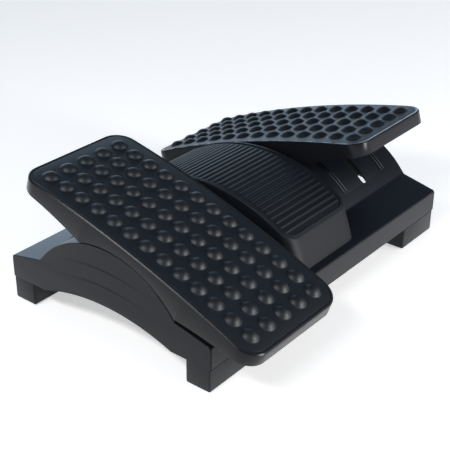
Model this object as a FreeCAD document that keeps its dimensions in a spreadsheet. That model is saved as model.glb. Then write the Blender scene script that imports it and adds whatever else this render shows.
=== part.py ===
import FreeCAD, Part

import math
import os
import re

import Sketcher

# Tilting under-desk footrest: a low base with two arched decks, a ribbed cover
# between them, and two domed pedals that rock fore and aft over the decks.
# X runs across the user, +Y away from the user, Z up. The origin is on the
# floor, under the middle of the base.

# Driving dimensions, in millimetres and degrees
SIZES = {
    # Base: width across the end cheeks, depth over the two rails
    "base_width": 450.0,
    "base_depth": 290.0,
    "shell_wall": 3.0,
    "seam_height": 29.0,
    "shoulder_height": 56.0,
    "shoulder_top": 66.0,
    "shoulder_round": 3.0,
    "cheek_arch_reach": 93.0,
    "cheek_arch_crown": 45.8,
    # Rocking motion: radius of the arched decks, depth of their centre under
    # the floor, and how far a pedal tilts each way from level
    "rocker_radius": 123.0,
    "rocker_drop": 7.4,
    "pedal_tilt": 17.7,
    "pedal_spacing": 295.4,
    # Slot in each deck with its two guide flanges, and the runner ridges
    "slot_width": 9.5,
    "slot_corner": 3.5,
    "stop_clearance": 0.3,
    "flange_wall": 2.5,
    "flange_reach": 39.5,
    "flange_radius": 110.0,
    "ridge_offset": 42.5,
    "ridge_spacing": 5.0,
    "ridge_width": 1.4,
    "ridge_height": 1.5,
    "ridge_reach": 44.0,
    # Foot rails and rubber pads under the base
    "rail_depth": 32.4,
    "rail_plate": 2.5,
    "rail_wall": 2.5,
    "rail_fit": 0.15,
    "foot_width": 71.7,
    "foot_inset": 0.6,
    "foot_wall": 5.5,
    "foot_web": 3.0,
    "foot_lid": 2.5,
    "foot_corner": 2.0,
    "pad_proud": 1.0,
    "pad_thickness": 2.5,
    "pad_margin": 4.0,
    "pad_corner": 5.0,
    # Centre cover
    "cover_width": 120.0,
    "cover_crown": 131.0,
    "cover_radius": 210.0,
    "cover_top_reach": 120.5,
    "cover_foot_reach": 135.2,
    "cover_wall": 3.0,
    "cover_corner": 18.0,
    "cover_edge_round": 2.0,
    "panel_width": 108.0,
    "panel_reach": 116.0,
    "panel_depth": 1.2,
    "panel_corner": 12.0,
    "bead_width": 1.2,
    "bead_height": 0.5,
    "rib_pitch": 7.6,
    "rib_count": 31,
    "rib_width": 2.6,
    "rib_length": 97.0,
    "rib_root": 1.0,
    "boss_sink": 0.6,
    # Pedal shell
    "pedal_width": 154.0,
    "pedal_length": 334.0,
    "pedal_corner": 24.0,
    "pedal_crown_height": 130.0,
    "pedal_crown_radius": 1316.0,
    "pedal_wall": 3.0,
    "pedal_edge_round": 1.0,
    "top_plate": 2.8,
    "rim_width": 4.0,
    "skirt_end_height": 103.6,
    "skirt_bow_radius": 560.0,
    "saddle_reach": 70.0,
    "saddle_gap": 1.0,
    "stiffener_wall": 2.5,
    "stiffener_rise": 4.0,
    "inner_stiffener": 72.0,
    "outer_stiffener": 118.0,
    # Domed tread mat
    "mat_thickness": 3.0,
    "mat_gap": 0.3,
    "dome_diameter": 18.6,
    "dome_height": 5.3,
    "dome_pitch_across": 26.5,
    "dome_pitch_along": 23.9,
    "dome_columns": 5,
    "dome_rows": 13,
    # Glides, guide keel and retainer plate under each pedal
    "glide_width": 12.0,
    "glide_thickness": 2.5,
    "glide_gap": 0.3,
    "glide_reach": 26.0,
    "glide_lip": 1.5,
    "glide_lip_height": 3.6,
    "glide_fit": 0.05,
    "keel_reach": 27.6,
    "keel_clearance": 0.3,
    "keel_top_radius": 126.0,
    "keel_end_round": 4.0,
    "beam_width": 18.0,
    "retainer_gap": 0.3,
    "retainer_thickness": 2.5,
    "retainer_width": 24.0,
    "retainer_reach": 30.0,
    "retainer_seat": 90.0,
    "guide_screw_reach": 36.0,
    # Screws and washers
    "screw_shank": 4.0,
    "screw_head": 7.6,
    "screw_head_height": 2.6,
    "screw_head_round": 1.04,
    "screw_recess": 1.4,
    "screw_recess_width": 0.9,
    "screw_clearance": 0.3,
    "thread_clearance": 0.05,
    "boss_diameter": 9.0,
    "washer_diameter": 10.0,
    "washer_thickness": 1.0,
    "washer_seat_margin": 1.0,
    "screw_tip_gap": 1.0,
    "guide_screw_length": 29.0,
    "rail_screw_length": 17.0,
    "rail_screw_pitch": 105.0,
    "cover_screw_length": 29.0,
    "cover_screw_across": 42.0,
    "cover_screw_reach": 70.0,
    "cover_screw_seat": 80.0,
    # How far a cutting shape passes the face that it cuts
    "cut_margin": 1.0,
}

# Long way: far past any face that a cutting shape has to clear
LONG = 600.0

ALONG_Y_UP_Z = FreeCAD.Rotation(
    FreeCAD.Vector(0, 1, 0), FreeCAD.Vector(0, 0, 1), FreeCAD.Vector(1, 0, 0), "ZXY"
)
AXIS_ALONG_X = FreeCAD.Rotation(FreeCAD.Vector(0, 1, 0), 90)

doc = FreeCAD.newDocument("Footrest")
sheet = doc.addObject("Spreadsheet::Sheet", "Sizes")


def fill_sheet():
    for row, (name, size) in enumerate(SIZES.items(), start=1):
        sheet.set(f"A{row}", name)
        sheet.set(f"B{row}", str(size))
        sheet.setAlias(f"B{row}", name)
    doc.recompute()


def formula(text):
    """Put the sheet's name before each size named in a formula."""
    names = r"[a-z][a-z_]+"
    return re.sub(names, lambda m: "Sizes." + m[0] if m[0] in SIZES else m[0], text)


def size(text):
    """The present value of a formula of sizes."""
    return float(sheet.evalExpression(formula(text)))


def bind(thing, path, text):
    thing.setExpression(path, formula(text))


# Formulas that several sub-parts share
PEDAL_SIDE = "pedal_spacing / 2"
SHOULDER_REACH = "sqrt(rocker_radius^2 - (shoulder_top + rocker_drop)^2)"
SHOULDER_SLOPE = f"(shoulder_top - shoulder_height) / (base_depth / 2 - {SHOULDER_REACH})"
CAVITY_REACH = "sqrt((rocker_radius - shell_wall)^2 - (shoulder_top - shell_wall + rocker_drop)^2)"
CAVITY_SLOPE = (
    f"(shoulder_top - shoulder_height) / (base_depth / 2 - shell_wall - {CAVITY_REACH})"
)
SLOT_REACH = "rocker_radius * sin(keel_reach + pedal_tilt) + stop_clearance"
RETAINER_TOP = "flange_radius - retainer_gap"
RETAINER_BOTTOM = f"({RETAINER_TOP} - retainer_thickness)"
GLIDE_BOTTOM = "rocker_radius + ridge_height + glide_gap"
GLIDE_SEAT = f"({GLIDE_BOTTOM} + glide_thickness)"
RAIL_MIDDLE = "base_depth / 2 - rail_depth / 2"
CROWN_CENTRE = "pedal_crown_height - pedal_crown_radius"
COVER_CENTRE = "cover_crown - cover_radius"
SHANK_HOLE = "screw_shank / 2 + screw_clearance"
THREAD_HOLE = "screw_shank / 2 + thread_clearance"


# Sketches: closed outlines whose corners and radii are formulas of the sizes


def pin_point(sketch, edge, end, axis_name, text):
    """Hold one coordinate of an edge's end at a formula."""
    here = size(text)
    if abs(here) < 1e-9:
        axis = -1 if axis_name == "DistanceY" else -2
        sketch.addConstraint(Sketcher.Constraint("PointOnObject", edge, end, axis))
        return
    index = sketch.addConstraint(Sketcher.Constraint(axis_name, -1, 1, edge, end, here))
    bind(sketch, f"Constraints[{index}]", text)


def arc_between(start, end, radius):
    """Arc from start to end; a positive radius turns left, a negative one right."""
    chord = end - start
    half = chord.Length / 2
    middle = (start + end) / 2
    rise = math.sqrt(max(radius * radius - half * half, 0.0))
    left = FreeCAD.Vector(-chord.y, chord.x, 0).normalize()
    centre = middle + left * (rise if radius > 0 else -rise)
    first, last = (start, end) if radius > 0 else (end, start)
    first_angle = math.atan2(first.y - centre.y, first.x - centre.x)
    last_angle = math.atan2(last.y - centre.y, last.x - centre.x)
    circle = Part.Circle(centre, FreeCAD.Vector(0, 0, 1), abs(radius))
    return Part.ArcOfCircle(circle, first_angle, last_angle)


def outline(name, corners, plane="side", at="0"):
    """Closed sketch through corners, each (across, up) or (across, up, radius).

    A radius bends the edge that leaves its corner. A side sketch lies in Y and Z
    at the given X, and a plan sketch lies in X and Y at the given Z.
    """
    sketch = doc.addObject("Sketcher::SketchObject", name)
    if plane == "side":
        sketch.Placement = FreeCAD.Placement(FreeCAD.Vector(), ALONG_Y_UP_Z)
        bind(sketch, ".Placement.Base.x", at)
    else:
        bind(sketch, ".Placement.Base.z", at)
    points = [FreeCAD.Vector(size(c[0]), size(c[1]), 0) for c in corners]
    ends = []
    for number, corner in enumerate(corners):
        start = points[number]
        end = points[(number + 1) % len(points)]
        if len(corner) == 3:
            radius = size(corner[2])
            edge = sketch.addGeometry(arc_between(start, end, radius))
            ends.append((edge, 1, 2) if radius > 0 else (edge, 2, 1))
            index = sketch.addConstraint(Sketcher.Constraint("Radius", edge, abs(radius)))
            bind(sketch, f"Constraints[{index}]", f"abs({corner[2]})")
        else:
            edge = sketch.addGeometry(Part.LineSegment(start, end))
            ends.append((edge, 1, 2))
    for number, corner in enumerate(corners):
        edge, start_end, _ = ends[number]
        before, _, before_end = ends[number - 1]
        sketch.addConstraint(
            Sketcher.Constraint("Coincident", before, before_end, edge, start_end)
        )
        pin_point(sketch, edge, start_end, "DistanceX", corner[0])
        pin_point(sketch, edge, start_end, "DistanceY", corner[1])
    return sketch


def rounded_rectangle(name, half_across, half_along, radius, at="0", middle="0"):
    """Plan outline of a rectangle with round corners, centred on X = middle."""
    left, right = f"{middle} - ({half_across})", f"{middle} + ({half_across})"
    front, back = f"-({half_along})", f"({half_along})"
    corners = [
        (f"{left} + ({radius})", front),
        (f"{right} - ({radius})", front, radius),
        (right, f"{front} + ({radius})"),
        (right, f"{back} - ({radius})", radius),
        (f"{right} - ({radius})", back),
        (f"{left} + ({radius})", back, radius),
        (left, f"{back} - ({radius})"),
        (left, f"{front} + ({radius})", radius),
    ]
    return outline(name, corners, plane="plan", at=at)


# Solids


def extrusion(sketch, length, symmetric=True):
    solid = doc.addObject("Part::Extrusion", sketch.Name + "Solid")
    solid.Base = sketch
    solid.DirMode = "Normal"
    solid.Solid = True
    solid.Symmetric = symmetric
    bind(solid, "LengthFwd", length)
    return solid


def block(name, centre_x, width, front, depth, bottom, height):
    """Box centred on X = centre_x that starts at Y = front and Z = bottom."""
    box = doc.addObject("Part::Box", name)
    bind(box, "Length", width)
    bind(box, "Width", depth)
    bind(box, "Height", height)
    bind(box, ".Placement.Base.x", f"({centre_x}) - ({width}) / 2")
    bind(box, ".Placement.Base.y", front)
    bind(box, ".Placement.Base.z", bottom)
    return box


def post(name, radius, centre_x, centre_y, bottom, height):
    """Upright cylinder."""
    cylinder = doc.addObject("Part::Cylinder", name)
    bind(cylinder, "Radius", radius)
    bind(cylinder, "Height", height)
    bind(cylinder, ".Placement.Base.x", centre_x)
    bind(cylinder, ".Placement.Base.y", centre_y)
    bind(cylinder, ".Placement.Base.z", bottom)
    return cylinder


def rocker_drum(name, radius, length):
    """Full cylinder about the rocking axis, centred on X = 0."""
    cylinder = doc.addObject("Part::Cylinder", name)
    cylinder.Placement.Rotation = AXIS_ALONG_X
    bind(cylinder, "Radius", radius)
    bind(cylinder, "Height", length)
    bind(cylinder, ".Placement.Base.x", f"-({length}) / 2")
    bind(cylinder, ".Placement.Base.z", "-rocker_drop")
    return cylinder


def sector(name, inner, outer, reach, middle, width):
    """Arched strip about the rocking axis, from -reach to +reach degrees."""
    corners = [
        (f"-({inner}) * sin({reach})", f"({inner}) * cos({reach}) - rocker_drop", f"-({inner})"),
        (f"({inner}) * sin({reach})", f"({inner}) * cos({reach}) - rocker_drop"),
        (f"({outer}) * sin({reach})", f"({outer}) * cos({reach}) - rocker_drop", outer),
        (f"-({outer}) * sin({reach})", f"({outer}) * cos({reach}) - rocker_drop"),
    ]
    return extrusion(outline(name, corners, at=middle), width)


def cut(name, base, tool):
    result = doc.addObject("Part::Cut", name)
    result.Base = base
    result.Tool = tool
    return result


def fuse(name, pieces):
    result = doc.addObject("Part::MultiFuse", name)
    result.Shapes = pieces
    return result


def common(name, first, second):
    result = doc.addObject("Part::MultiCommon", name)
    result.Shapes = [first, second]
    return result


def group(name, pieces):
    result = doc.addObject("Part::Compound", name)
    result.Links = pieces
    return result


def rounded(name, base, radius, chosen):
    """Round the edges of base whose middle point and direction are chosen."""
    doc.recompute()
    amount = size(radius)
    edges = []
    for number, edge in enumerate(base.Shape.Edges, start=1):
        middle = edge.valueAt((edge.FirstParameter + edge.LastParameter) / 2)
        along = edge.tangentAt((edge.FirstParameter + edge.LastParameter) / 2)
        if chosen(middle, along):
            edges.append((number, amount, amount))
    if not edges:
        raise RuntimeError(f"{name}: no edge to round")
    result = doc.addObject("Part::Fillet", name)
    result.Base = base
    result.Edges = edges
    return result


def near(first, second, gap=0.05):
    return abs(first - second) < gap


# Base


def base_envelope():
    """The outside of the base as one solid, with its long edges rounded."""
    corners = [
        ("-base_depth / 2", "seam_height"),
        ("base_depth / 2", "seam_height"),
        ("base_depth / 2", "shoulder_height"),
        (SHOULDER_REACH, "shoulder_top", "rocker_radius"),
        (f"-{SHOULDER_REACH}", "shoulder_top"),
        ("-base_depth / 2", "shoulder_height"),
    ]
    solid = extrusion(outline("BaseProfile", corners), "base_width")
    front, top = size("base_depth / 2"), size("shoulder_height")
    return rounded(
        "BaseEnvelope",
        solid,
        "shoulder_round",
        lambda p, d: near(abs(p.y), front) and near(p.z, top),
    )


def base_cavity():
    """The hollow under the shoulders and decks, between the end cheeks."""
    inner_top = "shoulder_top - shell_wall"
    reach = CAVITY_REACH
    low = "seam_height - shell_wall"
    corners = [
        ("-base_depth / 2 + shell_wall", low),
        ("base_depth / 2 - shell_wall", low),
        ("base_depth / 2 - shell_wall", "shoulder_height - shell_wall"),
        (reach, inner_top, "rocker_radius - shell_wall"),
        (f"-{reach}", inner_top),
        ("-base_depth / 2 + shell_wall", "shoulder_height - shell_wall"),
    ]
    return extrusion(outline("BaseCavity", corners), "base_width - 2 * shell_wall")


def cheek_arch():
    """The shallow arch under both end cheeks, between the feet."""
    rise = "(cheek_arch_crown - seam_height)"
    corners = [
        ("-cheek_arch_reach", "seam_height - shell_wall"),
        ("cheek_arch_reach", "seam_height - shell_wall"),
        ("cheek_arch_reach", "seam_height", f"(cheek_arch_reach^2 + {rise}^2) / (2 * {rise})"),
        ("-cheek_arch_reach", "seam_height"),
    ]
    return extrusion(outline("CheekArch", corners), str(LONG))


def deck_details(side, sign):
    """Guide flanges and runner ridges of one deck."""
    middle = f"{sign} * {PEDAL_SIDE}"
    pieces = []
    for hand in (-1, 1):
        at = f"{middle} + {hand} * (slot_width + flange_wall) / 2"
        name = f"{side}Flange{hand + 1}"
        outer = "rocker_radius - shell_wall / 2"
        pieces.append(sector(name, "flange_radius", outer, "flange_reach", at, "flange_wall"))
        for twin in (-1, 1):
            at = f"{middle} + {hand} * (ridge_offset + {twin} * ridge_spacing / 2)"
            name = f"{side}Ridge{hand + 1}{twin + 1}"
            inner, outer = "rocker_radius - shell_wall / 2", "rocker_radius + ridge_height"
            pieces.append(sector(name, inner, outer, "ridge_reach", at, "ridge_width"))
    return pieces


def deck_slot(side, sign):
    """The long slot that a pedal's keel runs in; its ends are the tilt stops."""
    half = "slot_width / 2"
    middle = f"{sign} * {PEDAL_SIDE}"
    sketch = rounded_rectangle(f"{side}Slot", half, SLOT_REACH, "slot_corner", middle=middle)
    return extrusion(sketch, str(LONG))


def rail_screw_places():
    for across in (-1, 0, 1):
        for along in (-1, 1):
            yield across, along


def cover_screw_places():
    for across in (-1, 1):
        for along in (-1, 1):
            yield across, along


def base_bosses(envelope):
    """Screw posts for the foot rails and screw tubes for the centre cover."""
    pieces = []
    bottom = "seam_height + rail_plate"
    top = f"shoulder_height + ({SHOULDER_SLOPE}) * rail_depth / 2 - shell_wall / 2"
    for across, along in rail_screw_places():
        place = (f"{across} * rail_screw_pitch", f"{along} * ({RAIL_MIDDLE})")
        name = f"RailPost{across + 1}{along + 1}"
        pieces.append(post(name, "boss_diameter / 2", *place, bottom, f"{top} - ({bottom})"))
    for across, along in cover_screw_places():
        place = (f"{across} * cover_screw_across", f"{along} * cover_screw_reach")
        name = f"CoverTube{across + 1}{along + 1}"
        height = "shoulder_top"
        pieces.append(post(name, "boss_diameter / 2", *place, "cover_screw_seat", height))
    return common("BaseBosses", fuse("BossGroup", pieces), envelope)


def base_shell(envelope):
    hollow = cut("HollowBase", envelope, fuse("BaseHollows", [base_cavity(), cheek_arch()]))
    details = deck_details("Left", -1) + deck_details("Right", 1)
    solid = fuse("BaseSolid", [hollow, base_bosses(envelope)] + details)
    holes = [deck_slot("Left", -1), deck_slot("Right", 1)]
    for across, along in rail_screw_places():
        place = (f"{across} * rail_screw_pitch", f"{along} * ({RAIL_MIDDLE})")
        name = f"RailPilot{across + 1}{along + 1}"
        depth = "rail_screw_length + screw_tip_gap"
        holes.append(post(name, THREAD_HOLE, *place, "seam_height", depth))
    for across, along in cover_screw_places():
        place = (f"{across} * cover_screw_across", f"{along} * cover_screw_reach")
        name = f"CoverClearance{across + 1}{along + 1}"
        holes.append(post(name, SHANK_HOLE, *place, "seam_height", "pedal_crown_height"))
    return cut("base_shell", solid, fuse("BaseHoles", holes))


def foot_rail(end, sign):
    """Closing channel under one rail of the base, with a foot at each end.

    Each foot is hollow from below in two pockets, which the rubber pad closes.
    """
    back = "base_depth / 2 - shell_wall - rail_fit"
    front = "base_depth / 2 - rail_depth"
    width = "base_width - 2 * (shell_wall + rail_fit)"
    wall_rise = f"({CAVITY_SLOPE}) * (rail_depth - rail_wall - shell_wall)"
    wall_height = f"shoulder_height - shell_wall + {wall_rise} - rail_fit - seam_height"
    depth = f"({back}) - ({front})"

    def along(start, length):
        return start if sign > 0 else f"-({start}) - ({length})"

    def slab(name, centre, wide, start, length, bottom, height):
        return block(name, centre, wide, along(start, length), length, bottom, height)

    pieces = [
        slab(f"{end}Plate", "0", width, front, depth, "seam_height", "rail_plate"),
        slab(f"{end}Upstand", "0", width, front, "rail_wall", "seam_height", wall_height),
    ]
    foot_depth = "rail_depth - foot_inset"
    foot_wide = "foot_width - foot_inset"
    foot_height = "seam_height - pad_proud"
    hollows = []
    for hand in (-1, 1):
        centre = f"{hand} * (base_width - foot_inset - foot_width) / 2"
        name = f"{end}Foot{hand + 1}"
        foot = slab(name, centre, foot_wide, front, foot_depth, "pad_proud", foot_height)
        pieces.append(rounded_uprights(name + "Round", foot, "foot_corner"))
        pocket_wide = f"(({foot_wide} - foot_web) / 2 - foot_wall)"
        pocket_deep = f"{foot_depth} - 2 * foot_wall"
        pocket_height = "seam_height - foot_lid"
        start = f"{front} + foot_wall"
        for half in (-1, 1):
            middle = f"{centre} + {half} * ({pocket_wide} + foot_web) / 2"
            label = f"{name}Pocket{half + 1}"
            hollows.append(
                slab(label, middle, pocket_wide, start, pocket_deep, "0", pocket_height)
            )
        seat_wide = f"{foot_wide} - 2 * pad_margin"
        seat_deep = f"{foot_depth} - 2 * pad_margin"
        start = f"{front} + pad_margin"
        hollows.append(
            slab(name + "Seat", centre, seat_wide, start, seat_deep, "0", "pad_thickness")
        )
    for across in (-1, 0, 1):
        place = (f"{across} * rail_screw_pitch", f"{sign} * ({RAIL_MIDDLE})")
        name = f"{end}RailHole{across + 1}"
        hollows.append(post(name, SHANK_HOLE, *place, "0", "shoulder_height"))
    solid = fuse(f"{end}RailSolid", pieces)
    return cut(f"{end.lower()}_foot_rail", solid, fuse(f"{end}RailHollows", hollows))


def rounded_uprights(name, base, radius):
    return rounded(name, base, radius, lambda p, d: abs(d.z) > 0.99)


def foot_pad(end, side, y_sign, x_sign):
    """Rubber pad glued into the underside of one foot."""
    wide = "foot_width - foot_inset - 2 * pad_margin"
    deep = "rail_depth - foot_inset - 2 * pad_margin"
    start = "base_depth / 2 - rail_depth + pad_margin"
    front = start if y_sign > 0 else f"-({start}) - ({deep})"
    centre = f"{x_sign} * (base_width - foot_inset - foot_width) / 2"
    pad = block(f"{end}{side}Pad", centre, wide, front, deep, "0", "pad_thickness")
    return rounded_uprights(f"{end.lower()}_{side.lower()}_foot_pad", pad, "pad_corner")


# Centre cover


def cover_block(name, inset):
    """The cover's bridge shape, drawn in by inset on every side."""
    radius = f"cover_radius - {inset}"
    top_reach = f"cover_top_reach - {inset}"
    edge_height = f"sqrt((cover_radius - {inset})^2 - ({top_reach})^2) + {COVER_CENTRE}"
    foot_reach = f"cover_foot_reach - {inset}"
    foot_height = "shoulder_height"
    corners = [
        (f"-({foot_reach})", "seam_height"),
        (foot_reach, "seam_height"),
        (foot_reach, foot_height),
        (top_reach, edge_height, radius),
        (f"-({top_reach})", edge_height),
        (f"-({foot_reach})", foot_height),
    ]
    width = f"cover_width - 2 * {inset}"
    solid = extrusion(outline(name + "Profile", corners), width)
    top, foot = size(edge_height), size(foot_height)
    half = size(width) / 2
    return rounded(
        name,
        solid,
        f"cover_corner - {inset}",
        lambda p, d: near(abs(p.x), half) and near(p.z, (top + foot) / 2, 1.0),
    )


def cover_strip(name, inner, outer, reach):
    """Arched strip that follows the cover's crown."""
    drop = f"({COVER_CENTRE})"
    corners = [
        (f"-({reach})", f"sqrt(({inner})^2 - ({reach})^2) + {drop}", f"-({inner})"),
        (f"{reach}", f"sqrt(({inner})^2 - ({reach})^2) + {drop}"),
        (f"{reach}", f"sqrt(({outer})^2 - ({reach})^2) + {drop}", outer),
        (f"-({reach})", f"sqrt(({outer})^2 - ({reach})^2) + {drop}"),
    ]
    return extrusion(outline(name, corners), "cover_width")


def panel_outline(name, grow):
    across = f"panel_width / 2 + {grow}"
    along = f"panel_reach + {grow}"
    return extrusion(rounded_rectangle(name, across, along, f"panel_corner + {grow}"), str(LONG))


def cover_ribs():
    """Treads across the panel: one bar, repeated along the crown."""
    ribs = doc.addObject("PartDesign::Body", "CoverRibs")
    flat = next(o for o in ribs.Origin.OriginFeatures if o.Role == "XZ_Plane")
    sketch = ribs.newObject("Sketcher::SketchObject", "RibSection")
    sketch.AttachmentSupport = (flat, [""])
    sketch.MapMode = "FlatFace"
    root = "cover_crown - panel_depth - rib_root"
    low, high = size(root), size("cover_crown")
    half = size("rib_length / 2")
    points = [(-half, low), (half, low), (half, high), (-half, high)]
    vectors = [FreeCAD.Vector(x, z, 0) for x, z in points]
    for number in range(4):
        sketch.addGeometry(Part.LineSegment(vectors[number], vectors[(number + 1) % 4]))
    for number in range(4):
        following = (number + 1) % 4
        sketch.addConstraint(Sketcher.Constraint("Coincident", number, 2, following, 1))
    for number, kind in enumerate(("Vertical", "Horizontal", "Vertical"), start=1):
        sketch.addConstraint(Sketcher.Constraint(kind, number))
    sketch.addConstraint(Sketcher.Constraint("Symmetric", 0, 1, 0, 2, -2))
    length = sketch.addConstraint(Sketcher.Constraint("DistanceX", 0, 1, 0, 2, 2 * half))
    bind(sketch, f"Constraints[{length}]", "rib_length")
    bottom = sketch.addConstraint(Sketcher.Constraint("DistanceY", -1, 1, 0, 1, low))
    bind(sketch, f"Constraints[{bottom}]", root)
    top = sketch.addConstraint(Sketcher.Constraint("DistanceY", -1, 1, 2, 1, high))
    bind(sketch, f"Constraints[{top}]", "cover_crown")
    bar = ribs.newObject("PartDesign::Pad", "RibBar")
    bar.Profile = sketch
    bar.SideType = "Symmetric"
    bind(bar, "Length", "rib_width")
    axis = ribs.newObject("PartDesign::Line", "CrownAxis")
    axis.Placement = FreeCAD.Placement(FreeCAD.Vector(), AXIS_ALONG_X)
    bind(axis, ".Placement.Base.z", COVER_CENTRE)
    ribs.AllowCompound = True
    doc.recompute()
    step = "rib_pitch / cover_radius * 180 / pi"
    for direction in (False, True):
        pattern = ribs.newObject("PartDesign::PolarPattern", f"Ribs{int(direction)}")
        pattern.Originals = [bar]
        pattern.Axis = (axis, [""])
        pattern.Reversed = direction
        bind(pattern, "Occurrences", "(rib_count + 1) / 2")
        bind(pattern, "Angle", f"{step} * (rib_count - 1) / 2")
        ribs.Tip = pattern
        doc.recompute()
    return ribs


def centre_cover(envelope):
    outer = cover_block("CoverOuter", "0")
    top_radius = size("cover_radius")
    centre_z = size(COVER_CENTRE)

    def on_crown(point, along):
        return near(math.hypot(point.y, point.z - centre_z), top_radius, 0.2)

    outer = rounded("CoverSoft", outer, "cover_edge_round", on_crown)
    inner = cover_block("CoverInner", "cover_wall")
    floor, above = "cover_radius - panel_depth", "cover_radius + cut_margin"
    recess_strip = cover_strip("RecessStrip", floor, above, "panel_reach + cut_margin")
    recess = common("PanelRecess", recess_strip, panel_outline("RecessOutline", "0"))
    bead_band = cut(
        "BeadBand", panel_outline("BeadOuter", "bead_width"), panel_outline("BeadInner", "0")
    )
    below, bead_top = "cover_radius - cut_margin", "cover_radius + bead_height"
    bead_strip = cover_strip("BeadStrip", below, bead_top, "panel_reach + bead_width + cut_margin")
    bead = common("PanelBead", bead_strip, bead_band)
    shell = cut("CoverShell", outer, fuse("CoverHollows", [inner, recess]))
    bosses = []
    for across, along in cover_screw_places():
        place = (f"{across} * cover_screw_across", f"{along} * cover_screw_reach")
        name = f"CoverBoss{across + 1}{along + 1}"
        bosses.append(post(name, "boss_diameter / 2", *place, "cover_screw_seat", "shoulder_top"))
    bosses = common("CoverBosses", fuse("CoverBossGroup", bosses), cover_limit("CoverLimit"))
    top = fuse("CoverTop", [shell, bead, cover_ribs()])
    solid = fuse("CoverSolid", [top, bosses])
    holes = [envelope]
    for across, along in cover_screw_places():
        place = (f"{across} * cover_screw_across", f"{along} * cover_screw_reach")
        name = f"CoverPilot{across + 1}{along + 1}"
        depth = "cover_screw_length + screw_tip_gap"
        holes.append(post(name, THREAD_HOLE, *place, "cover_screw_seat", depth))
    return cut("centre_cover", solid, fuse("CoverHoles", holes))


def cover_limit(name):
    """The space under the cover's crown, up to a little way into its top wall."""
    drum = doc.addObject("Part::Cylinder", name)
    drum.Placement.Rotation = AXIS_ALONG_X
    bind(drum, "Radius", "cover_radius - cover_wall + boss_sink")
    bind(drum, "Height", "cover_width")
    bind(drum, ".Placement.Base.x", "-cover_width / 2")
    bind(drum, ".Placement.Base.z", COVER_CENTRE)
    return drum


# Pedal, modelled level and centred on X = 0


def pedal_profile(name, saddle, lift, half_length, drop):
    """Side outline of a pedal: crowned top, bowed skirt line, saddle over the deck.

    lift raises the skirt line and drop lowers the crown.
    """
    crown = f"(pedal_crown_radius - ({drop}))"
    end_top = f"sqrt({crown}^2 - ({half_length})^2) + {CROWN_CENTRE}"
    end_low = f"skirt_end_height + {lift}"
    saddle_height = f"sqrt(({saddle})^2 - saddle_reach^2) - rocker_drop"
    corners = [
        (f"{half_length}", end_low),
        (f"{half_length}", end_top, crown),
        (f"-({half_length})", end_top),
        (f"-({half_length})", end_low, "-skirt_bow_radius"),
        ("-saddle_reach", saddle_height, f"-({saddle})"),
        ("saddle_reach", saddle_height, "-skirt_bow_radius"),
    ]
    return outline(name, corners)


def crown_strip(name, upper, lower, half_length, width):
    """Curved slab that follows the crown between two depths below it."""
    top = f"(pedal_crown_radius - ({upper}))"
    low = f"(pedal_crown_radius - ({lower}))"
    corners = [
        (f"-({half_length})", f"sqrt({low}^2 - ({half_length})^2) + {CROWN_CENTRE}", f"-({low})"),
        (f"{half_length}", f"sqrt({low}^2 - ({half_length})^2) + {CROWN_CENTRE}"),
        (f"{half_length}", f"sqrt({top}^2 - ({half_length})^2) + {CROWN_CENTRE}", top),
        (f"-({half_length})", f"sqrt({top}^2 - ({half_length})^2) + {CROWN_CENTRE}"),
    ]
    return extrusion(outline(name, corners), width)


def plan_block(name, inset):
    """Upright prism with the pedal's rounded plan, drawn in by inset."""
    sketch = rounded_rectangle(
        name,
        f"pedal_width / 2 - ({inset})",
        f"pedal_length / 2 - ({inset})",
        f"pedal_corner - ({inset})",
    )
    return extrusion(sketch, str(LONG))


def pedal_shell(side):
    """Tray with a skirt all round, stiffeners below and a recess for the mat."""
    half = "pedal_length / 2"
    profile = pedal_profile(f"{side}Skirt", "rocker_radius + saddle_gap", "0", half, "0")
    body = extrusion(profile, "pedal_width")
    outer = common(f"{side}PedalOuter", body, plan_block(f"{side}Plan", "0"))
    crown_z, crown_r = size(CROWN_CENTRE), size("pedal_crown_radius")
    outer = rounded(
        f"{side}PedalSoft",
        outer,
        "pedal_edge_round",
        lambda p, d: near(math.hypot(p.y, p.z - crown_z), crown_r, 0.02),
    )
    depth = "mat_thickness + top_plate"
    tall = "pedal_crown_height - seam_height"
    hollow = common(
        f"{side}PedalHollow",
        crown_strip(f"{side}HollowStrip", depth, tall, half, "pedal_width"),
        plan_block(f"{side}HollowPlan", "pedal_wall"),
    )
    recess = common(
        f"{side}MatRecess",
        crown_strip(f"{side}RecessStrip", "-cut_margin", "mat_thickness", half, "pedal_width"),
        plan_block(f"{side}RecessPlan", "rim_width"),
    )
    tray = cut(f"{side}Tray", outer, fuse(f"{side}TrayHollows", [hollow, recess]))
    ribs = pedal_stiffeners(side)
    solid = fuse(f"{side}PedalSolid", [tray, ribs, keel_beam(side)])
    return cut(f"{side}PedalShell", solid, guide_screw_holes(side, "Pilot", THREAD_HOLE))


def pedal_stiffeners(side):
    """Ribs under the top plate: two that carry the glides and four across."""
    bars = []
    tall = "pedal_crown_height - seam_height"
    for hand in (-1, 1):
        at = f"{hand} * ridge_offset"
        front = "-pedal_length / 2 + pedal_wall / 2"
        length = "pedal_length - pedal_wall"
        name = f"{side}GlideRib{hand + 1}"
        bars.append(block(name, at, "stiffener_wall", front, length, "seam_height", tall))
        for number, reach in enumerate(("inner_stiffener", "outer_stiffener")):
            front = f"{hand} * {reach} - stiffener_wall / 2"
            width = "pedal_width - pedal_wall"
            name = f"{side}CrossRib{hand + 1}{number}"
            bars.append(block(name, "0", width, front, "stiffener_wall", "seam_height", tall))
    half = "pedal_length / 2"
    drop = "mat_thickness + top_plate / 2"
    profile = pedal_profile(f"{side}RibLimit", GLIDE_SEAT, "stiffener_rise", half, drop)
    return common(
        f"{side}Stiffeners", fuse(f"{side}RibBars", bars), extrusion(profile, "pedal_width")
    )


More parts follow.
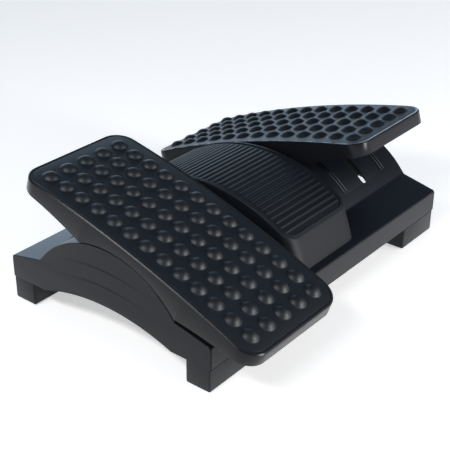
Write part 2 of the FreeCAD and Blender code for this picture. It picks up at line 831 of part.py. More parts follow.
def keel_beam(side):
    """Solid bar under the middle of the top plate that the keel is screwed to."""
    reach = "keel_top_radius * sin(keel_reach)"
    tall = "pedal_crown_height - seam_height"
    name = f"{side}BeamBar"
    bar = block(name, "0", "beam_width", f"-{reach}", f"2 * {reach}", "seam_height", tall)
    half = "pedal_length / 2"
    drop = "mat_thickness + top_plate / 2"
    profile = pedal_profile(f"{side}BeamLimit", "keel_top_radius", "stiffener_rise", half, drop)
    return common(f"{side}KeelBeam", bar, extrusion(profile, "pedal_width"))


def guide_screw_holes(side, use, radius):
    """Two upright holes for the guide screws."""
    bottom = "retainer_seat - boss_diameter"
    top = "retainer_seat - washer_thickness + guide_screw_length + screw_tip_gap"
    height = f"{top} - ({bottom})"
    holes = [
        post(f"{side}{use}{hand + 1}", radius, "0", f"{hand} * guide_screw_reach", bottom, height)
        for hand in (-1, 1)
    ]
    return fuse(f"{side}{use}Holes", holes)


def tread_mat(side):
    """Mat with rows of round domes, set into the pedal's recess."""
    inset = "rim_width + mat_gap"
    slab = common(
        f"{side}MatSlab",
        crown_strip(f"{side}MatStrip", "0", "mat_thickness", "pedal_length / 2", "pedal_width"),
        plan_block(f"{side}MatPlan", inset),
    )
    radius = "(dome_diameter^2 / 4 + dome_height^2) / (2 * dome_height)"
    columns, rows = int(size("dome_columns")), int(size("dome_rows"))
    crown = size("pedal_crown_radius")
    lift = size("dome_height") - size(radius)
    domes = []
    for column in range(columns):
        for row in range(rows):
            angle = (row - (rows - 1) / 2) * size("dome_pitch_along") / crown
            ball = doc.addObject("Part::Sphere", f"{side}Dome{column}x{row}")
            bind(ball, "Radius", radius)
            across = (column - (columns - 1) / 2) * size("dome_pitch_across")
            along = (crown + lift) * math.sin(angle)
            up = size(CROWN_CENTRE) + (crown + lift) * math.cos(angle)
            ball.Placement.Base = FreeCAD.Vector(across, along, up)
            domes.append(ball)
    under_domes = "mat_thickness + dome_diameter"
    floor = crown_strip(
        f"{side}DomeFloor", "mat_thickness", under_domes, "pedal_length / 2", "pedal_width"
    )
    return cut(f"{side}TreadMat", fuse(f"{side}MatBody", [slab] + domes), floor)


def glide(side, place, hand):
    """Slippery strip clipped over a glide rib, which runs on two deck ridges."""
    at = f"{hand} * ridge_offset"
    lip_offset = "(stiffener_wall / 2 + glide_fit + glide_lip / 2)"
    lip_top = f"{GLIDE_SEAT} + glide_lip_height"
    name = f"{side}{place}Glide"
    strip = sector(name + "Strip", GLIDE_BOTTOM, GLIDE_SEAT, "glide_reach", at, "glide_width")
    lips = [
        sector(
            f"{name}Lip{edge + 1}",
            f"{GLIDE_SEAT} - glide_thickness / 2",
            lip_top,
            "glide_reach",
            f"{at} + {edge} * {lip_offset}",
            "glide_lip",
        )
        for edge in (-1, 1)
    ]
    return fuse(name, [strip] + lips)


def guide_keel(side):
    """Arched key that hangs from the pedal through the slot of the deck."""
    width = "slot_width - 2 * keel_clearance"
    bar = sector(f"{side}KeelBar", RETAINER_TOP, "keel_top_radius", "keel_reach", "0", width)
    half, reach = size(width) / 2, size("keel_reach")
    drop = size("rocker_drop")

    def at_ends(point, along):
        angle = math.degrees(math.atan2(abs(point.y), point.z + drop))
        return near(abs(point.x), half) and near(angle, reach, 0.2)

    bar = rounded(f"{side}KeelRound", bar, "keel_end_round", at_ends)
    return cut(f"{side}GuideKeel", bar, guide_screw_holes(side, "KeelHole", SHANK_HOLE))


def retainer_plate(side):
    """Arched plate under the guide flanges, with two flat screw seats."""
    name = f"{side}RetainerArch"
    plate = sector(name, RETAINER_BOTTOM, RETAINER_TOP, "retainer_reach", "0", "retainer_width")
    seats = [
        post(
            f"{side}Seat{hand + 1}",
            "washer_diameter / 2 + washer_seat_margin",
            "0",
            f"{hand} * guide_screw_reach",
            "retainer_seat",
            str(LONG),
        )
        for hand in (-1, 1)
    ]
    drum = rocker_drum(
        f"{side}SeatLimit", f"{RETAINER_TOP} - retainer_thickness / 2", "retainer_width"
    )
    seats = common(f"{side}Seats", fuse(f"{side}SeatPosts", seats), drum)
    solid = fuse(f"{side}RetainerSolid", [plate, seats])
    holes = guide_screw_holes(side, "RetainerHole", SHANK_HOLE)
    return cut(f"{side}RetainerPlate", solid, holes)


def spring_washers(side):
    rings = []
    for hand in (-1, 1):
        place = ("0", f"{hand} * guide_screw_reach", "retainer_seat - washer_thickness")
        disc = post(f"{side}Disc{hand + 1}", "washer_diameter / 2", *place, "washer_thickness")
        bore = post(f"{side}Bore{hand + 1}", SHANK_HOLE, *place, "washer_thickness")
        rings.append(cut(f"{side}Washer{hand + 1}", disc, bore))
    return group(f"{side}SpringWashers", rings)


def screw(name, across, along, seat, length):
    """Pan-head screw driven upward, its head's top face at the seat."""
    head_low = f"{seat} - screw_head_height"
    head = post(f"{name}Head", "screw_head / 2", across, along, head_low, "screw_head_height")
    head = rounded(
        f"{name}Pan",
        head,
        "screw_head_round",
        lambda p, d: near(p.z, size(head_low)) and abs(d.z) < 0.5,
    )
    shank = post(f"{name}Shank", "screw_shank / 2", across, along, seat, length)
    solid = fuse(f"{name}Solid", [head, shank])
    slots = []
    arms = (("screw_recess_width", "screw_head / 2"), ("screw_head / 2", "screw_recess_width"))
    for number, (wide, deep) in enumerate(arms):
        front = f"{along} - ({deep}) / 2"
        slots.append(
            block(f"{name}Slot{number}", across, wide, front, deep, head_low, "screw_recess")
        )
    return cut(name, solid, fuse(f"{name}Cross", slots))


def guide_screws(side):
    seat = "retainer_seat - washer_thickness"
    pieces = [
        screw(
            f"{side}GuideScrew{hand + 1}",
            "0",
            f"{hand} * guide_screw_reach",
            seat,
            "guide_screw_length",
        )
        for hand in (-1, 1)
    ]
    return group(f"{side}GuideScrews", pieces)


def rail_screws(end, sign):
    pieces = []
    for across in (-1, 0, 1):
        place = (f"{across} * rail_screw_pitch", f"{sign} * ({RAIL_MIDDLE})")
        name = f"{end}RailScrew{across + 1}"
        pieces.append(screw(name, *place, "seam_height", "rail_screw_length"))
    return group(f"{end.lower()}_rail_screws", pieces)


def cover_screws():
    pieces = []
    for across, along in cover_screw_places():
        place = (f"{across} * cover_screw_across", f"{along} * cover_screw_reach")
        name = f"CoverScrew{across + 1}{along + 1}"
        pieces.append(screw(name, *place, "cover_screw_seat", "cover_screw_length"))
    return group("cover_screws", pieces)


# Assembly


def tilted(source, node, sign, tilt_sign):
    """Move a level pedal piece over its deck and rock it to its stop."""
    piece = doc.addObject("Part::Compound", node)
    piece.Links = [source]
    axis = FreeCAD.Vector(0, 0, -size("rocker_drop"))
    turn = FreeCAD.Rotation(FreeCAD.Vector(1, 0, 0), tilt_sign * size("pedal_tilt"))
    piece.Placement = FreeCAD.Placement(
        FreeCAD.Vector(sign * size(PEDAL_SIDE), 0, 0), turn, axis
    )
    return piece


def pedal_pieces(side, sign, tilt_sign):
    name = side.lower()
    level = {
        f"{name}_pedal_shell": pedal_shell(side),
        f"{name}_tread_mat": tread_mat(side),
        f"{name}_inner_glide": glide(side, "Inner", -sign),
        f"{name}_outer_glide": glide(side, "Outer", sign),
        f"{name}_guide_keel": guide_keel(side),
        f"{name}_retainer_plate": retainer_plate(side),
        f"{name}_spring_washers": spring_washers(side),
        f"{name}_guide_screws": guide_screws(side),
    }
    return {node: tilted(piece, node, sign, tilt_sign) for node, piece in level.items()}


def base_pieces():
    envelope = base_envelope()
    nodes = {"base_shell": base_shell(envelope), "centre_cover": centre_cover(envelope)}
    for end, y_sign in (("Front", -1), ("Rear", 1)):
        nodes[f"{end.lower()}_foot_rail"] = foot_rail(end, y_sign)
        nodes[f"{end.lower()}_rail_screws"] = rail_screws(end, y_sign)
        for side, x_sign in (("Left", -1), ("Right", 1)):
            node = f"{end.lower()}_{side.lower()}_foot_pad"
            nodes[node] = foot_pad(end, side, y_sign, x_sign)
    nodes["cover_screws"] = cover_screws()
    return nodes


def check(nodes):
    for item in doc.Objects:
        if "Invalid" in item.State or "Error" in item.State:
            raise RuntimeError(f"{item.Name} did not compute: {item.State}")
    for node, piece in nodes.items():
        shape = piece.Shape
        if shape.isNull() or not shape.isValid() or not shape.Solids:
            raise RuntimeError(f"{node} has no valid solid")


def write(nodes):
    os.makedirs("parts", exist_ok=True)
    for node, piece in nodes.items():
        piece.Label = node
        piece.Shape.exportStep(f"parts/{node}.step")
        box = piece.Shape.BoundBox
        print(
            f"{node}: {len(piece.Shape.Solids)} solid(s), {piece.Shape.Volume / 1000:.1f} cm3,"
            f" x {box.XMin:.1f} {box.XMax:.1f}, y {box.YMin:.1f} {box.YMax:.1f},"
            f" z {box.ZMin:.1f} {box.ZMax:.1f}"
        )


def main():
    fill_sheet()
    nodes = base_pieces()
    nodes.update(pedal_pieces("Left", -1, 1))
    nodes.update(pedal_pieces("Right", 1, -1))
    doc.recompute()
    check(nodes)
    write(nodes)


main()
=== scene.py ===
import bmesh
import bpy
import math
from mathutils import Matrix, Vector


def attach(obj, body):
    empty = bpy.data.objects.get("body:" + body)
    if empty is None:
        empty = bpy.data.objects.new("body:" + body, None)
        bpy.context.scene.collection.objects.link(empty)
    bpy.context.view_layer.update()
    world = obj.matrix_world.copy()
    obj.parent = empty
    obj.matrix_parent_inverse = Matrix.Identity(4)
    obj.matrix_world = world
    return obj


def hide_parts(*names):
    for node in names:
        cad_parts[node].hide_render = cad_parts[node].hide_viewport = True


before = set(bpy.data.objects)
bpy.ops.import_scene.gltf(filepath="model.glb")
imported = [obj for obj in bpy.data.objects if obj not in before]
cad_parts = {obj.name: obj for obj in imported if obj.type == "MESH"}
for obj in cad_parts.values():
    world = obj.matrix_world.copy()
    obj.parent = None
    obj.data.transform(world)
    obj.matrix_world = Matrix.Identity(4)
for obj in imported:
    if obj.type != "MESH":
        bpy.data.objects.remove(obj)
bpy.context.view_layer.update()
mm = 0.001  # shapes are set in millimetres and degrees, the camera and the studio in metres
hands = (("left", -1), ("right", 1))
ends = (("front", -1), ("rear", 1))
facing = 0.9  # a face looks along an axis when its normal has this much of it

# hand tools shared by the pieces


def near(first, second, gap=0.01):
    return abs(first - second) < gap


def shift(x=0.0, y=0.0, z=0.0):
    bpy.ops.transform.translate(value=(x * mm, y * mm, z * mm))


def pull(x=0.0, y=0.0, z=0.0):
    bpy.ops.mesh.extrude_region_move(TRANSFORM_OT_translate={"value": (x * mm, y * mm, z * mm)})


def inset(width):
    bpy.ops.mesh.inset(thickness=width * mm, use_even_offset=True)


def soften(width, steps):
    bpy.ops.mesh.bevel(offset=width * mm, segments=steps, affect="EDGES", clamp_overlap=True)


def roundPoints(width, steps):
    bpy.ops.mesh.bevel(offset=width * mm, segments=steps, affect="VERTICES")


def smooth(angle=30.0):
    bpy.ops.object.shade_smooth_by_angle(angle=math.radians(angle), keep_sharp_edges=False)


def faceOut():
    bpy.ops.mesh.select_all(action="SELECT")
    bpy.ops.mesh.normals_make_consistent(inside=False)


def startPlan(name, width, length, corner, steps):
    # a flat face with round corners, left open in edit mode
    bpy.ops.object.select_all(action="DESELECT")
    bpy.ops.mesh.primitive_plane_add(size=1, location=(0, 0, 0))
    bpy.context.object.name = name
    bpy.ops.object.mode_set(mode="EDIT")
    bpy.ops.mesh.select_all(action="SELECT")
    bpy.ops.transform.resize(value=(width * mm, length * mm, 1))
    roundPoints(corner, steps)


def startPoint(name, place):
    # a single point in edit mode, ready to be drawn into an outline
    bpy.ops.object.select_all(action="DESELECT")
    bpy.ops.mesh.primitive_plane_add(size=0.01, location=(0, 0, 0))
    bpy.context.object.name = name
    bpy.ops.object.mode_set(mode="EDIT")
    bpy.ops.mesh.select_all(action="SELECT")
    bpy.ops.mesh.merge(type="CENTER")
    bpy.ops.transform.translate(value=Vector(place) * mm)


def drawTo(here, there):
    # a straight stroke, which returns the point it ends at
    step = (Vector(there) - Vector(here)) * mm
    bpy.ops.mesh.extrude_region_move(TRANSFORM_OT_translate={"value": step})
    return there


def swing(here, there, centre, steps, axis=(1, 0, 0)):
    # an arc from here to there about centre
    first, last = Vector(here) - Vector(centre), Vector(there) - Vector(centre)
    angle = first.angle(last)
    if first.cross(last).dot(Vector(axis)) > 0:
        angle = -angle  # spin turns the other way round its axis
    bpy.ops.mesh.spin(steps=steps, angle=angle, center=Vector(centre) * mm, axis=axis)
    return there


def fillOutline():
    bpy.ops.mesh.select_all(action="SELECT")
    bpy.ops.mesh.remove_doubles(threshold=0.002 * mm)
    bpy.ops.mesh.edge_face_add()


def block(name, low, high, edge=0.0):
    # a bar between two corners, with its edges softened, left open in edit mode
    middle = [(a + b) / 2 * mm for a, b in zip(low, high)]
    size = [(b - a) * mm for a, b in zip(low, high)]
    bpy.ops.object.select_all(action="DESELECT")
    bpy.ops.mesh.primitive_cube_add(size=1, location=(0, 0, 0))
    bpy.context.object.name = name
    bpy.ops.object.mode_set(mode="EDIT")
    bpy.ops.mesh.select_all(action="SELECT")
    bpy.ops.transform.resize(value=size)
    bpy.ops.transform.translate(value=middle)
    if edge:
        soften(edge, 2)


def rod(diameter, length, sides, place=(0, 0, 0)):
    # an upright round bar about its middle
    bpy.ops.object.select_all(action="DESELECT")
    bpy.ops.mesh.primitive_cylinder_add(
        vertices=sides, radius=diameter / 2 * mm, depth=length * mm, location=[at * mm for at in place]
    )


def pick(kind, test):
    # selects points, edges or faces by their place, in millimetres
    bpy.ops.mesh.select_mode(type=kind)
    bpy.ops.mesh.select_all(action="DESELECT")
    mesh = bmesh.from_edit_mesh(bpy.context.edit_object.data)
    if kind == "VERT":
        found = [v for v in mesh.verts if test(v.co / mm)]
    elif kind == "EDGE":
        found = [e for e in mesh.edges if test(e.verts[0].co / mm, e.verts[1].co / mm)]
    else:
        found = [f for f in mesh.faces if test(f.calc_center_median() / mm, f.normal)]
    for item in found:
        item.select_set(True)
    mesh.select_flush_mode()
    bmesh.update_edit_mesh(bpy.context.edit_object.data)


def pickLoop(level, test=lambda p: True):
    # the edges that lie flat at one height and pass the test at both ends
    pick("EDGE", lambda a, b: near(a.z, level) and near(b.z, level) and test(a) and test(b))


def cutRows(places):
    for place in places:
        bpy.ops.mesh.select_all(action="SELECT")
        bpy.ops.mesh.bisect(plane_co=(0, place * mm, 0), plane_no=(0, 1, 0))


def liftRows(belongs, heightAt):
    # each row of points across the piece rises by the height for its place along it
    mesh = bmesh.from_edit_mesh(bpy.context.edit_object.data)
    sameRow = 0.01
    rows = []
    for place in sorted((v.co / mm).y for v in mesh.verts if belongs(v.co / mm)):
        if not rows or place - rows[-1] > sameRow:
            rows.append(place)
    for row in rows:
        pick("VERT", lambda p: belongs(p) and 0 <= p.y - row <= sameRow)
        shift(z=heightAt(row))


def endEdit(angle=30.0):
    # closes a piece: no double points, faces outward, smooth up to the angle
    bpy.ops.mesh.select_mode(type="VERT")
    bpy.ops.mesh.select_all(action="SELECT")
    bpy.ops.mesh.remove_doubles(threshold=0.001 * mm)
    bpy.ops.mesh.normals_make_consistent(inside=False)
    bpy.ops.object.mode_set(mode="OBJECT")
    smooth(angle)
    return bpy.context.object


def onlySelect(*pieces):
    bpy.ops.object.select_all(action="DESELECT")
    for piece in pieces:
        piece.select_set(True)
    bpy.context.view_layer.objects.active = pieces[0]


def settle(piece):
    # the object goes to the origin, and its place into its mesh
    onlySelect(piece)
    bpy.ops.object.transform_apply(location=True, rotation=True, scale=True)
    return piece


def copyOf(piece, name, move):
    twin = piece.copy()
    twin.data = piece.data.copy()
    twin.name = name
    bpy.context.scene.collection.objects.link(twin)
    twin.matrix_world = move @ twin.matrix_world
    return settle(twin)


def weld(name, pieces):
    # joins finished pieces into one object
    onlySelect(*pieces)
    bpy.ops.object.join()
    piece = bpy.context.object
    piece.name = name
    return piece


def carve(piece, cutters):
    # takes each cutter's shape out of the piece
    for cutter in cutters:
        onlySelect(piece)
        boolean = piece.modifiers.new("carve", "BOOLEAN")
        boolean.operation = "DIFFERENCE"
        boolean.solver = "EXACT"
        boolean.object = cutter
        bpy.ops.object.modifier_apply(modifier=boolean.name)
        bpy.data.objects.remove(cutter)
    onlySelect(piece)
    smooth()
    return piece


# the photographed view


cameraLook = {
    "place": (-0.88769, -0.68915, 0.66059),
    "azimuth": -51.503,
    "elevation": 28.525,
    "roll": 0.538,
    "lens": 84.92,
    "sensor": 36.0,
}


def makeCamera(look):
    camera = bpy.data.objects.new("camera", bpy.data.cameras.new("camera"))
    bpy.context.scene.collection.objects.link(camera)
    camera.data.lens = look["lens"]
    camera.data.sensor_width = look["sensor"]
    camera.location = look["place"]
    camera.rotation_euler = (math.radians(90 - look["elevation"]), 0, math.radians(look["azimuth"]))
    camera.rotation_euler.rotate_axis("Z", math.radians(look["roll"]))
    bpy.context.scene.camera = camera


makeCamera(cameraLook)

# material building


class Signal:
    # one output socket, so that shader sums read as plain sums
    def __init__(self, wiring, socket):
        self.wiring = wiring
        self.socket = socket

    def sum(self, kind, first, second=0.0):
        return self.wiring.node("ShaderNodeMath", {"operation": kind}, {0: first, 1: second})

    def __add__(self, other):
        return self.sum("ADD", self, other)

    def __radd__(self, other):
        return self.sum("ADD", other, self)

    def __sub__(self, other):
        return self.sum("SUBTRACT", self, other)

    def __rsub__(self, other):
        return self.sum("SUBTRACT", other, self)

    def __mul__(self, other):
        return self.sum("MULTIPLY", self, other)

    def __rmul__(self, other):
        return self.sum("MULTIPLY", other, self)

    def __pow__(self, other):
        return self.sum("POWER", self, other)

    def __gt__(self, other):
        return self.sum("GREATER_THAN", self, other)

    def __abs__(self):
        return self.sum("ABSOLUTE", self)


class Wiring:
    # the nodes of one material or world
    def __init__(self, tree):
        self.tree = tree

    def node(self, kind, settings=None, inputs=None, output=0):
        made = self.tree.nodes.new(kind)
        for name, value in (settings or {}).items():
            setattr(made, name, value)
        for name, value in (inputs or {}).items():
            if isinstance(value, Signal):
                self.tree.links.new(value.socket, made.inputs[name])
            else:
                made.inputs[name].default_value = value
        return Signal(self, made.outputs[output])

    def place(self):
        return self.node("ShaderNodeTexCoord", output="Object")

    def axes(self, vector):
        first = self.node("ShaderNodeSeparateXYZ", {}, {0: vector}, output="X")
        node = first.socket.node
        return first, Signal(self, node.outputs["Y"]), Signal(self, node.outputs["Z"])

    def ease(self, value, low, high, atLow=0.0, atHigh=1.0):
        # a soft step between two values
        ranges = {0: value, 1: low, 2: high, 3: atLow, 4: atHigh}
        return self.node("ShaderNodeMapRange", {"interpolation_type": "SMOOTHSTEP"}, ranges)

    def fall(self, value, width):
        # one at zero, easing to nothing at the width
        return self.ease(value, 0.0, width, 1.0, 0.0)

    def noise(self, place, scale, detail=2.0, roughness=0.5):
        inputs = {"Vector": place, "Scale": scale, "Detail": detail, "Roughness": roughness}
        return self.node("ShaderNodeTexNoise", {}, inputs)

    def blend(self, amount, first, second):
        colours = {"Factor": amount, 6: first, 7: second}
        return self.node("ShaderNodeMix", {"data_type": "RGBA"}, colours, output=2)

    def bump(self, height, strength, distance):
        return self.node("ShaderNodeBump", {}, {"Height": height, "Strength": strength, "Distance": distance})


class Finish(Wiring):
    # a material while it is being made
    def __init__(self, name, **fixed):
        self.material = bpy.data.materials.new(name)
        self.material.use_nodes = True
        super().__init__(self.material.node_tree)
        self.shader = self.tree.nodes["Principled BSDF"]
        for socket, value in fixed.items():
            self.shader.inputs[socket.replace("_", " ")].default_value = value

    def send(self, signal, socket):
        self.tree.links.new(signal.socket, self.shader.inputs[socket])


mouldSkin = {  # what all the moulded looks share
    "grainDetail": 3.0,
    "grainRoughness": 0.6,
    "grainGloss": 0.06,
    "rubDetail": 4.0,
    "rubRoughness": 0.65,
    "rubFrom": 0.62,
}


def mouldedPlastic(name, look):
    # moulded plastic or rubber: fine grain, cloudy gloss and faint rub marks
    s = mouldSkin
    finish = Finish(name, Metallic=0.0, IOR=1.5, Specular_IOR_Level=look["shine"])
    place = finish.place()
    grain = finish.noise(place, look["grainScale"], s["grainDetail"], s["grainRoughness"])
    cloud = finish.noise(place, look["cloudScale"])
    stretched = finish.node("ShaderNodeMapping", {}, {"Vector": place, "Scale": look["rubStretch"]})
    rub = finish.noise(stretched, look["rubScale"], s["rubDetail"], s["rubRoughness"])
    marks = (rub - s["rubFrom"]) * (rub > s["rubFrom"])
    dark = (*look["colour"], 1.0)
    pale = (*[c * look["spread"] for c in look["colour"]], 1.0)
    finish.colour = finish.blend(cloud, dark, pale)
    gloss = look["roughness"] + (cloud - 0.5) * look["cloudiness"] + (grain - 0.5) * s["grainGloss"]
    finish.rough = gloss - marks * look["rubShine"]
    finish.height = grain * look["grainDepth"] * mm
    return finish


def sinkMarksAndShade(finish, look):
    # faint arcs on the end cheeks, where the ribs behind them drew the skin in: a shallow dip, darkened with
    # painted shade
    x, y, z = finish.axes(finish.place())
    onCheek = abs(x) > look["from"] * mm
    dipAndShade = 0.0
    for centre, radius, reach in look["arcs"]:
        up = z - centre * mm
        away = abs((y * y + up * up) ** 0.5 - radius * mm)
        line = finish.fall(away, look["width"] * mm) * finish.fall(abs(y), reach * mm)
        dipAndShade = line + dipAndShade
    dipAndShade = dipAndShade * onCheek
    finish.height = finish.height - dipAndShade * look["depth"] * mm
    # painted shade along the arcs: a darker colour and a dulled reflection
    finish.colour = finish.blend(dipAndShade * look["shade"], finish.colour, look["colour"])
    finish.rough = finish.rough + dipAndShade * look["roughen"]
    finish.send(dipAndShade * look["shadeDull"], "Metallic")
    return finish


def ridgeHighlight(finish, look):
    # painted highlight: the crests of the runner ridges turn pale towards their ends
    y, z = finish.axes(finish.place())[1:]
    up = z + baseShape["rockerDrop"] * mm
    crest = (y * y + up * up) ** 0.5 > (baseShape["rockerRadius"] + look["from"]) * mm
    highlight = crest * (z > look["above"] * mm) * finish.fall(look["end"] * mm - abs(y), look["reach"] * mm)
    # painted highlight on the crests
    finish.colour = finish.blend(highlight, finish.colour, look["colour"])
    return finish


def satinTop(finish, look):
    # the rim's upper side is textured like the mat, and shines more than the smooth skirt
    z = finish.axes(finish.node("ShaderNodeTexCoord", output="Normal"))[2]
    finish.shader.inputs["Coat Roughness"].default_value = look["roughness"]
    finish.send((z > look["from"]) * look["coat"], "Coat Weight")
    return finish


def wireUp(finish):
    # the finished colour, gloss and grain reach the shader last
    finish.send(finish.colour, "Base Color")
    finish.send(finish.rough, "Roughness")
    finish.send(finish.bump(finish.height, 1.0, 1.0), "Normal")
    return finish


zincLook = {
    "dark": (0.55, 0.55, 0.52, 1.0),
    "pale": (0.72, 0.71, 0.66, 1.0),
    "crystalScale": 900.0,
    "cloudScale": 220.0,
    "cloudDetail": 3.0,
    "roughness": 0.26,
    "cloudGloss": 0.16,
    "crystalGloss": 0.06,
    "bumpStrength": 0.2,
    "bumpDepth": 0.02,
}


def zincPlate(look):
    # bright zinc: fine crystals under a cloudy gloss
    finish = Finish("zincPlate", Metallic=1.0)
    place = finish.place()
    crystals = {"Vector": place, "Scale": look["crystalScale"]}
    mottle = finish.node("ShaderNodeTexVoronoi", {}, crystals, output="Distance")
    cloud = finish.noise(place, look["cloudScale"], look["cloudDetail"])
    finish.send(finish.blend(cloud, look["dark"], look["pale"]), "Base Color")
    finish.send(look["roughness"] + cloud * look["cloudGloss"] + mottle * look["crystalGloss"], "Roughness")
    finish.send(finish.bump(mottle + cloud, look["bumpStrength"], look["bumpDepth"] * mm), "Normal")
    return finish


# base: one moulded shell with two arched decks


baseShape = {
    "halfWidth": 225.0,
    "halfDepth": 145.0,
    "seam": 29.0,
    "shoulder": 56.0,
    "land": 66.0,
    "wall": 3.0,
    "rockerRadius": 123.0,
    "rockerDrop": 7.4,
    "shoulderRound": 3.2,
    "hollowRound": 1.6,
    "cheekEdge": 0.8,
    "hollowPast": 5.0,  # how far the hollow's cutter reaches below the seam
    "cornerGroove": 1.3,
    "cornerGrooveAt": 1.5,
    "cornerGrooveEnds": (-2.0, -1.0),  # from the seam and from the shoulder
    "archHalf": 93.0,
    "archCrown": 45.8,
    "archPast": (20.0, 6.0),  # how far the arch's cutter reaches sideways and down
    "pedalAt": 147.7,
    "tilt": 17.7,
    "slotWidth": 9.5,
    "slotReach": 87.73,
    "slotCorner": 3.5,
    "slotCut": (40.0, 110.0),  # where the slot's cutter starts, and its height
    "ridgeOffset": 42.5,
    "ridgeSpacing": 5.0,
    "ridgeWidth": 1.4,
    "ridgeHeight": 1.5,
    "ridgeReach": 44.0,
    "ridgeEdge": 0.67,
    "flangeWall": 2.5,
    "flangeRadius": 110.0,
    "flangeReach": 39.5,
}
rocker = (0.0, 0.0, -baseShape["rockerDrop"])  # a point on the rocking axis


def onRocker(radius, degrees, x=0.0):
    turn = math.radians(degrees)
    return (x, radius * math.sin(turn), radius * math.cos(turn) - baseShape["rockerDrop"])


def deckEnd(radius, height):
    # where an arch of this radius comes down to this height
    return math.sqrt(radius**2 - (height + baseShape["rockerDrop"]) ** 2)


def baseTop(y):
    # height of the base's outer top surface
    b = baseShape
    reach = deckEnd(b["rockerRadius"], b["land"])
    if abs(y) <= reach:
        return math.sqrt(b["rockerRadius"] ** 2 - y**2) - b["rockerDrop"]
    slope = (b["land"] - b["shoulder"]) / (b["halfDepth"] - reach)
    return b["land"] - (abs(y) - reach) * slope


def archedStrip(name, inner, outer, reach, width, steps, edge=0.0):
    # a strip bent round the rocking axis
    x = -width / 2
    axis = (x, 0, rocker[2])
    first = onRocker(inner, -reach, x)
    startPoint(name, first)
    here = swing(first, onRocker(inner, reach, x), axis, steps)
    here = drawTo(here, onRocker(outer, reach, x))
    swing(here, onRocker(outer, -reach, x), axis, steps)
    fillOutline()
    pull(x=width)
    if edge:
        onTop = lambda p: near(math.hypot(p.y, p.z - rocker[2]), outer, 0.05)
        pick("EDGE", lambda a, b: onTop(a) and onTop(b) and near(a.x, b.x))
        soften(edge, 3)
    return endEdit()


def sideOutline(name, x, depth, bottom, shoulder, land, radius, steps):
    # the base's side view: flat bottom, shoulders, lands and the arch between them
    reach = deckEnd(radius, land)
    first = (x, -depth, bottom)
    startPoint(name, first)
    here = drawTo(first, (x, depth, bottom))
    here = drawTo(here, (x, depth, shoulder))
    here = drawTo(here, (x, reach, land))
    here = swing(here, (x, -reach, land), (x, 0, rocker[2]), steps)
    drawTo(here, (x, -depth, shoulder))
    fillOutline()


def makeBaseBody():
    b = baseShape
    w, d = b["halfWidth"], b["halfDepth"]
    reach = deckEnd(b["rockerRadius"], b["land"])
    sideOutline("baseBody", -w, d, b["seam"], b["shoulder"], b["land"], b["rockerRadius"], 96)
    pick("VERT", lambda p: near(abs(p.y), d) and near(p.z, b["shoulder"]))
    roundPoints(b["shoulderRound"], 5)
    pick("VERT", lambda p: near(abs(p.y), reach) and near(p.z, b["land"]))
    roundPoints(b["hollowRound"], 3)
    bpy.ops.mesh.select_mode(type="FACE")
    bpy.ops.mesh.select_all(action="SELECT")
    pull(x=2 * w)
    faceOut()
    # the edges round both cheeks, but not along the seam
    onCheek = lambda p, q: near(abs(p.x), w) and near(p.x, q.x)
    pick("EDGE", lambda p, q: onCheek(p, q) and max(p.z, q.z) > b["seam"] + 0.5)
    soften(b["cheekEdge"], 3)
    return endEdit()


def makeHollow():
    # the inside of the shell, as a cutter
    b = baseShape
    half, depth = b["halfWidth"] - b["wall"], b["halfDepth"] - b["wall"]
    bottom, shoulder, land = b["seam"] - b["hollowPast"], b["shoulder"] - b["wall"], b["land"] - b["wall"]
    sideOutline("hollow", -half, depth, bottom, shoulder, land, b["rockerRadius"] - b["wall"], 72)
    pull(x=2 * half)
    return endEdit()


def makeCheekArch():
    # the shallow arch below the end cheeks, as one cutter through both
    b = baseShape
    half, seam = b["archHalf"], b["seam"]
    x, low = -b["halfWidth"] - b["archPast"][0], seam - b["archPast"][1]
    rise = b["archCrown"] - seam
    radius = (half**2 + rise**2) / (2 * rise)
    startPoint("cheekArch", (x, -half, seam))
    here = swing((x, -half, seam), (x, half, seam), (x, 0, b["archCrown"] - radius), 48)
    here = drawTo(here, (x, half, low))
    drawTo(here, (x, -half, low))
    fillOutline()
    pull(x=-2 * x)
    return endEdit()


def makeSlot(side):
    b = baseShape
    startPlan("slot", b["slotWidth"], 2 * b["slotReach"], b["slotCorner"], 8)
    shift(side * b["pedalAt"], 0, b["slotCut"][0])
    pull(z=b["slotCut"][1])
    return endEdit()


def makeCornerGroove(side, end):
    b = baseShape
    x, y, g = side * (b["halfWidth"] - b["cornerGrooveAt"]), end * b["halfDepth"], b["cornerGroove"]
    low = (x - g / 2, y - g, b["seam"] + b["cornerGrooveEnds"][0])
    block("cornerGroove", low, (x + g / 2, y + g, b["shoulder"] + b["cornerGrooveEnds"][1]))
    return endEdit()


def makeBase():
    body = makeBaseBody()
    cutters = [makeHollow(), makeCheekArch(), makeSlot(-1), makeSlot(1)]
    cutters += [makeCornerGroove(side, end) for side in (-1, 1) for end in (-1, 1)]
    carve(body, cutters)
    print("base shell carved:", len(body.data.polygons), "faces")
    return body


def makePost(x, y, low):
    # a screw post that hangs from the shell
    high = baseTop(y) - baseShape["wall"] / 2
    rod(screwShape["post"], high - low, 32, (x, y, (low + high) / 2))
    post = settle(bpy.context.object)
    smooth(40.0)
    return post


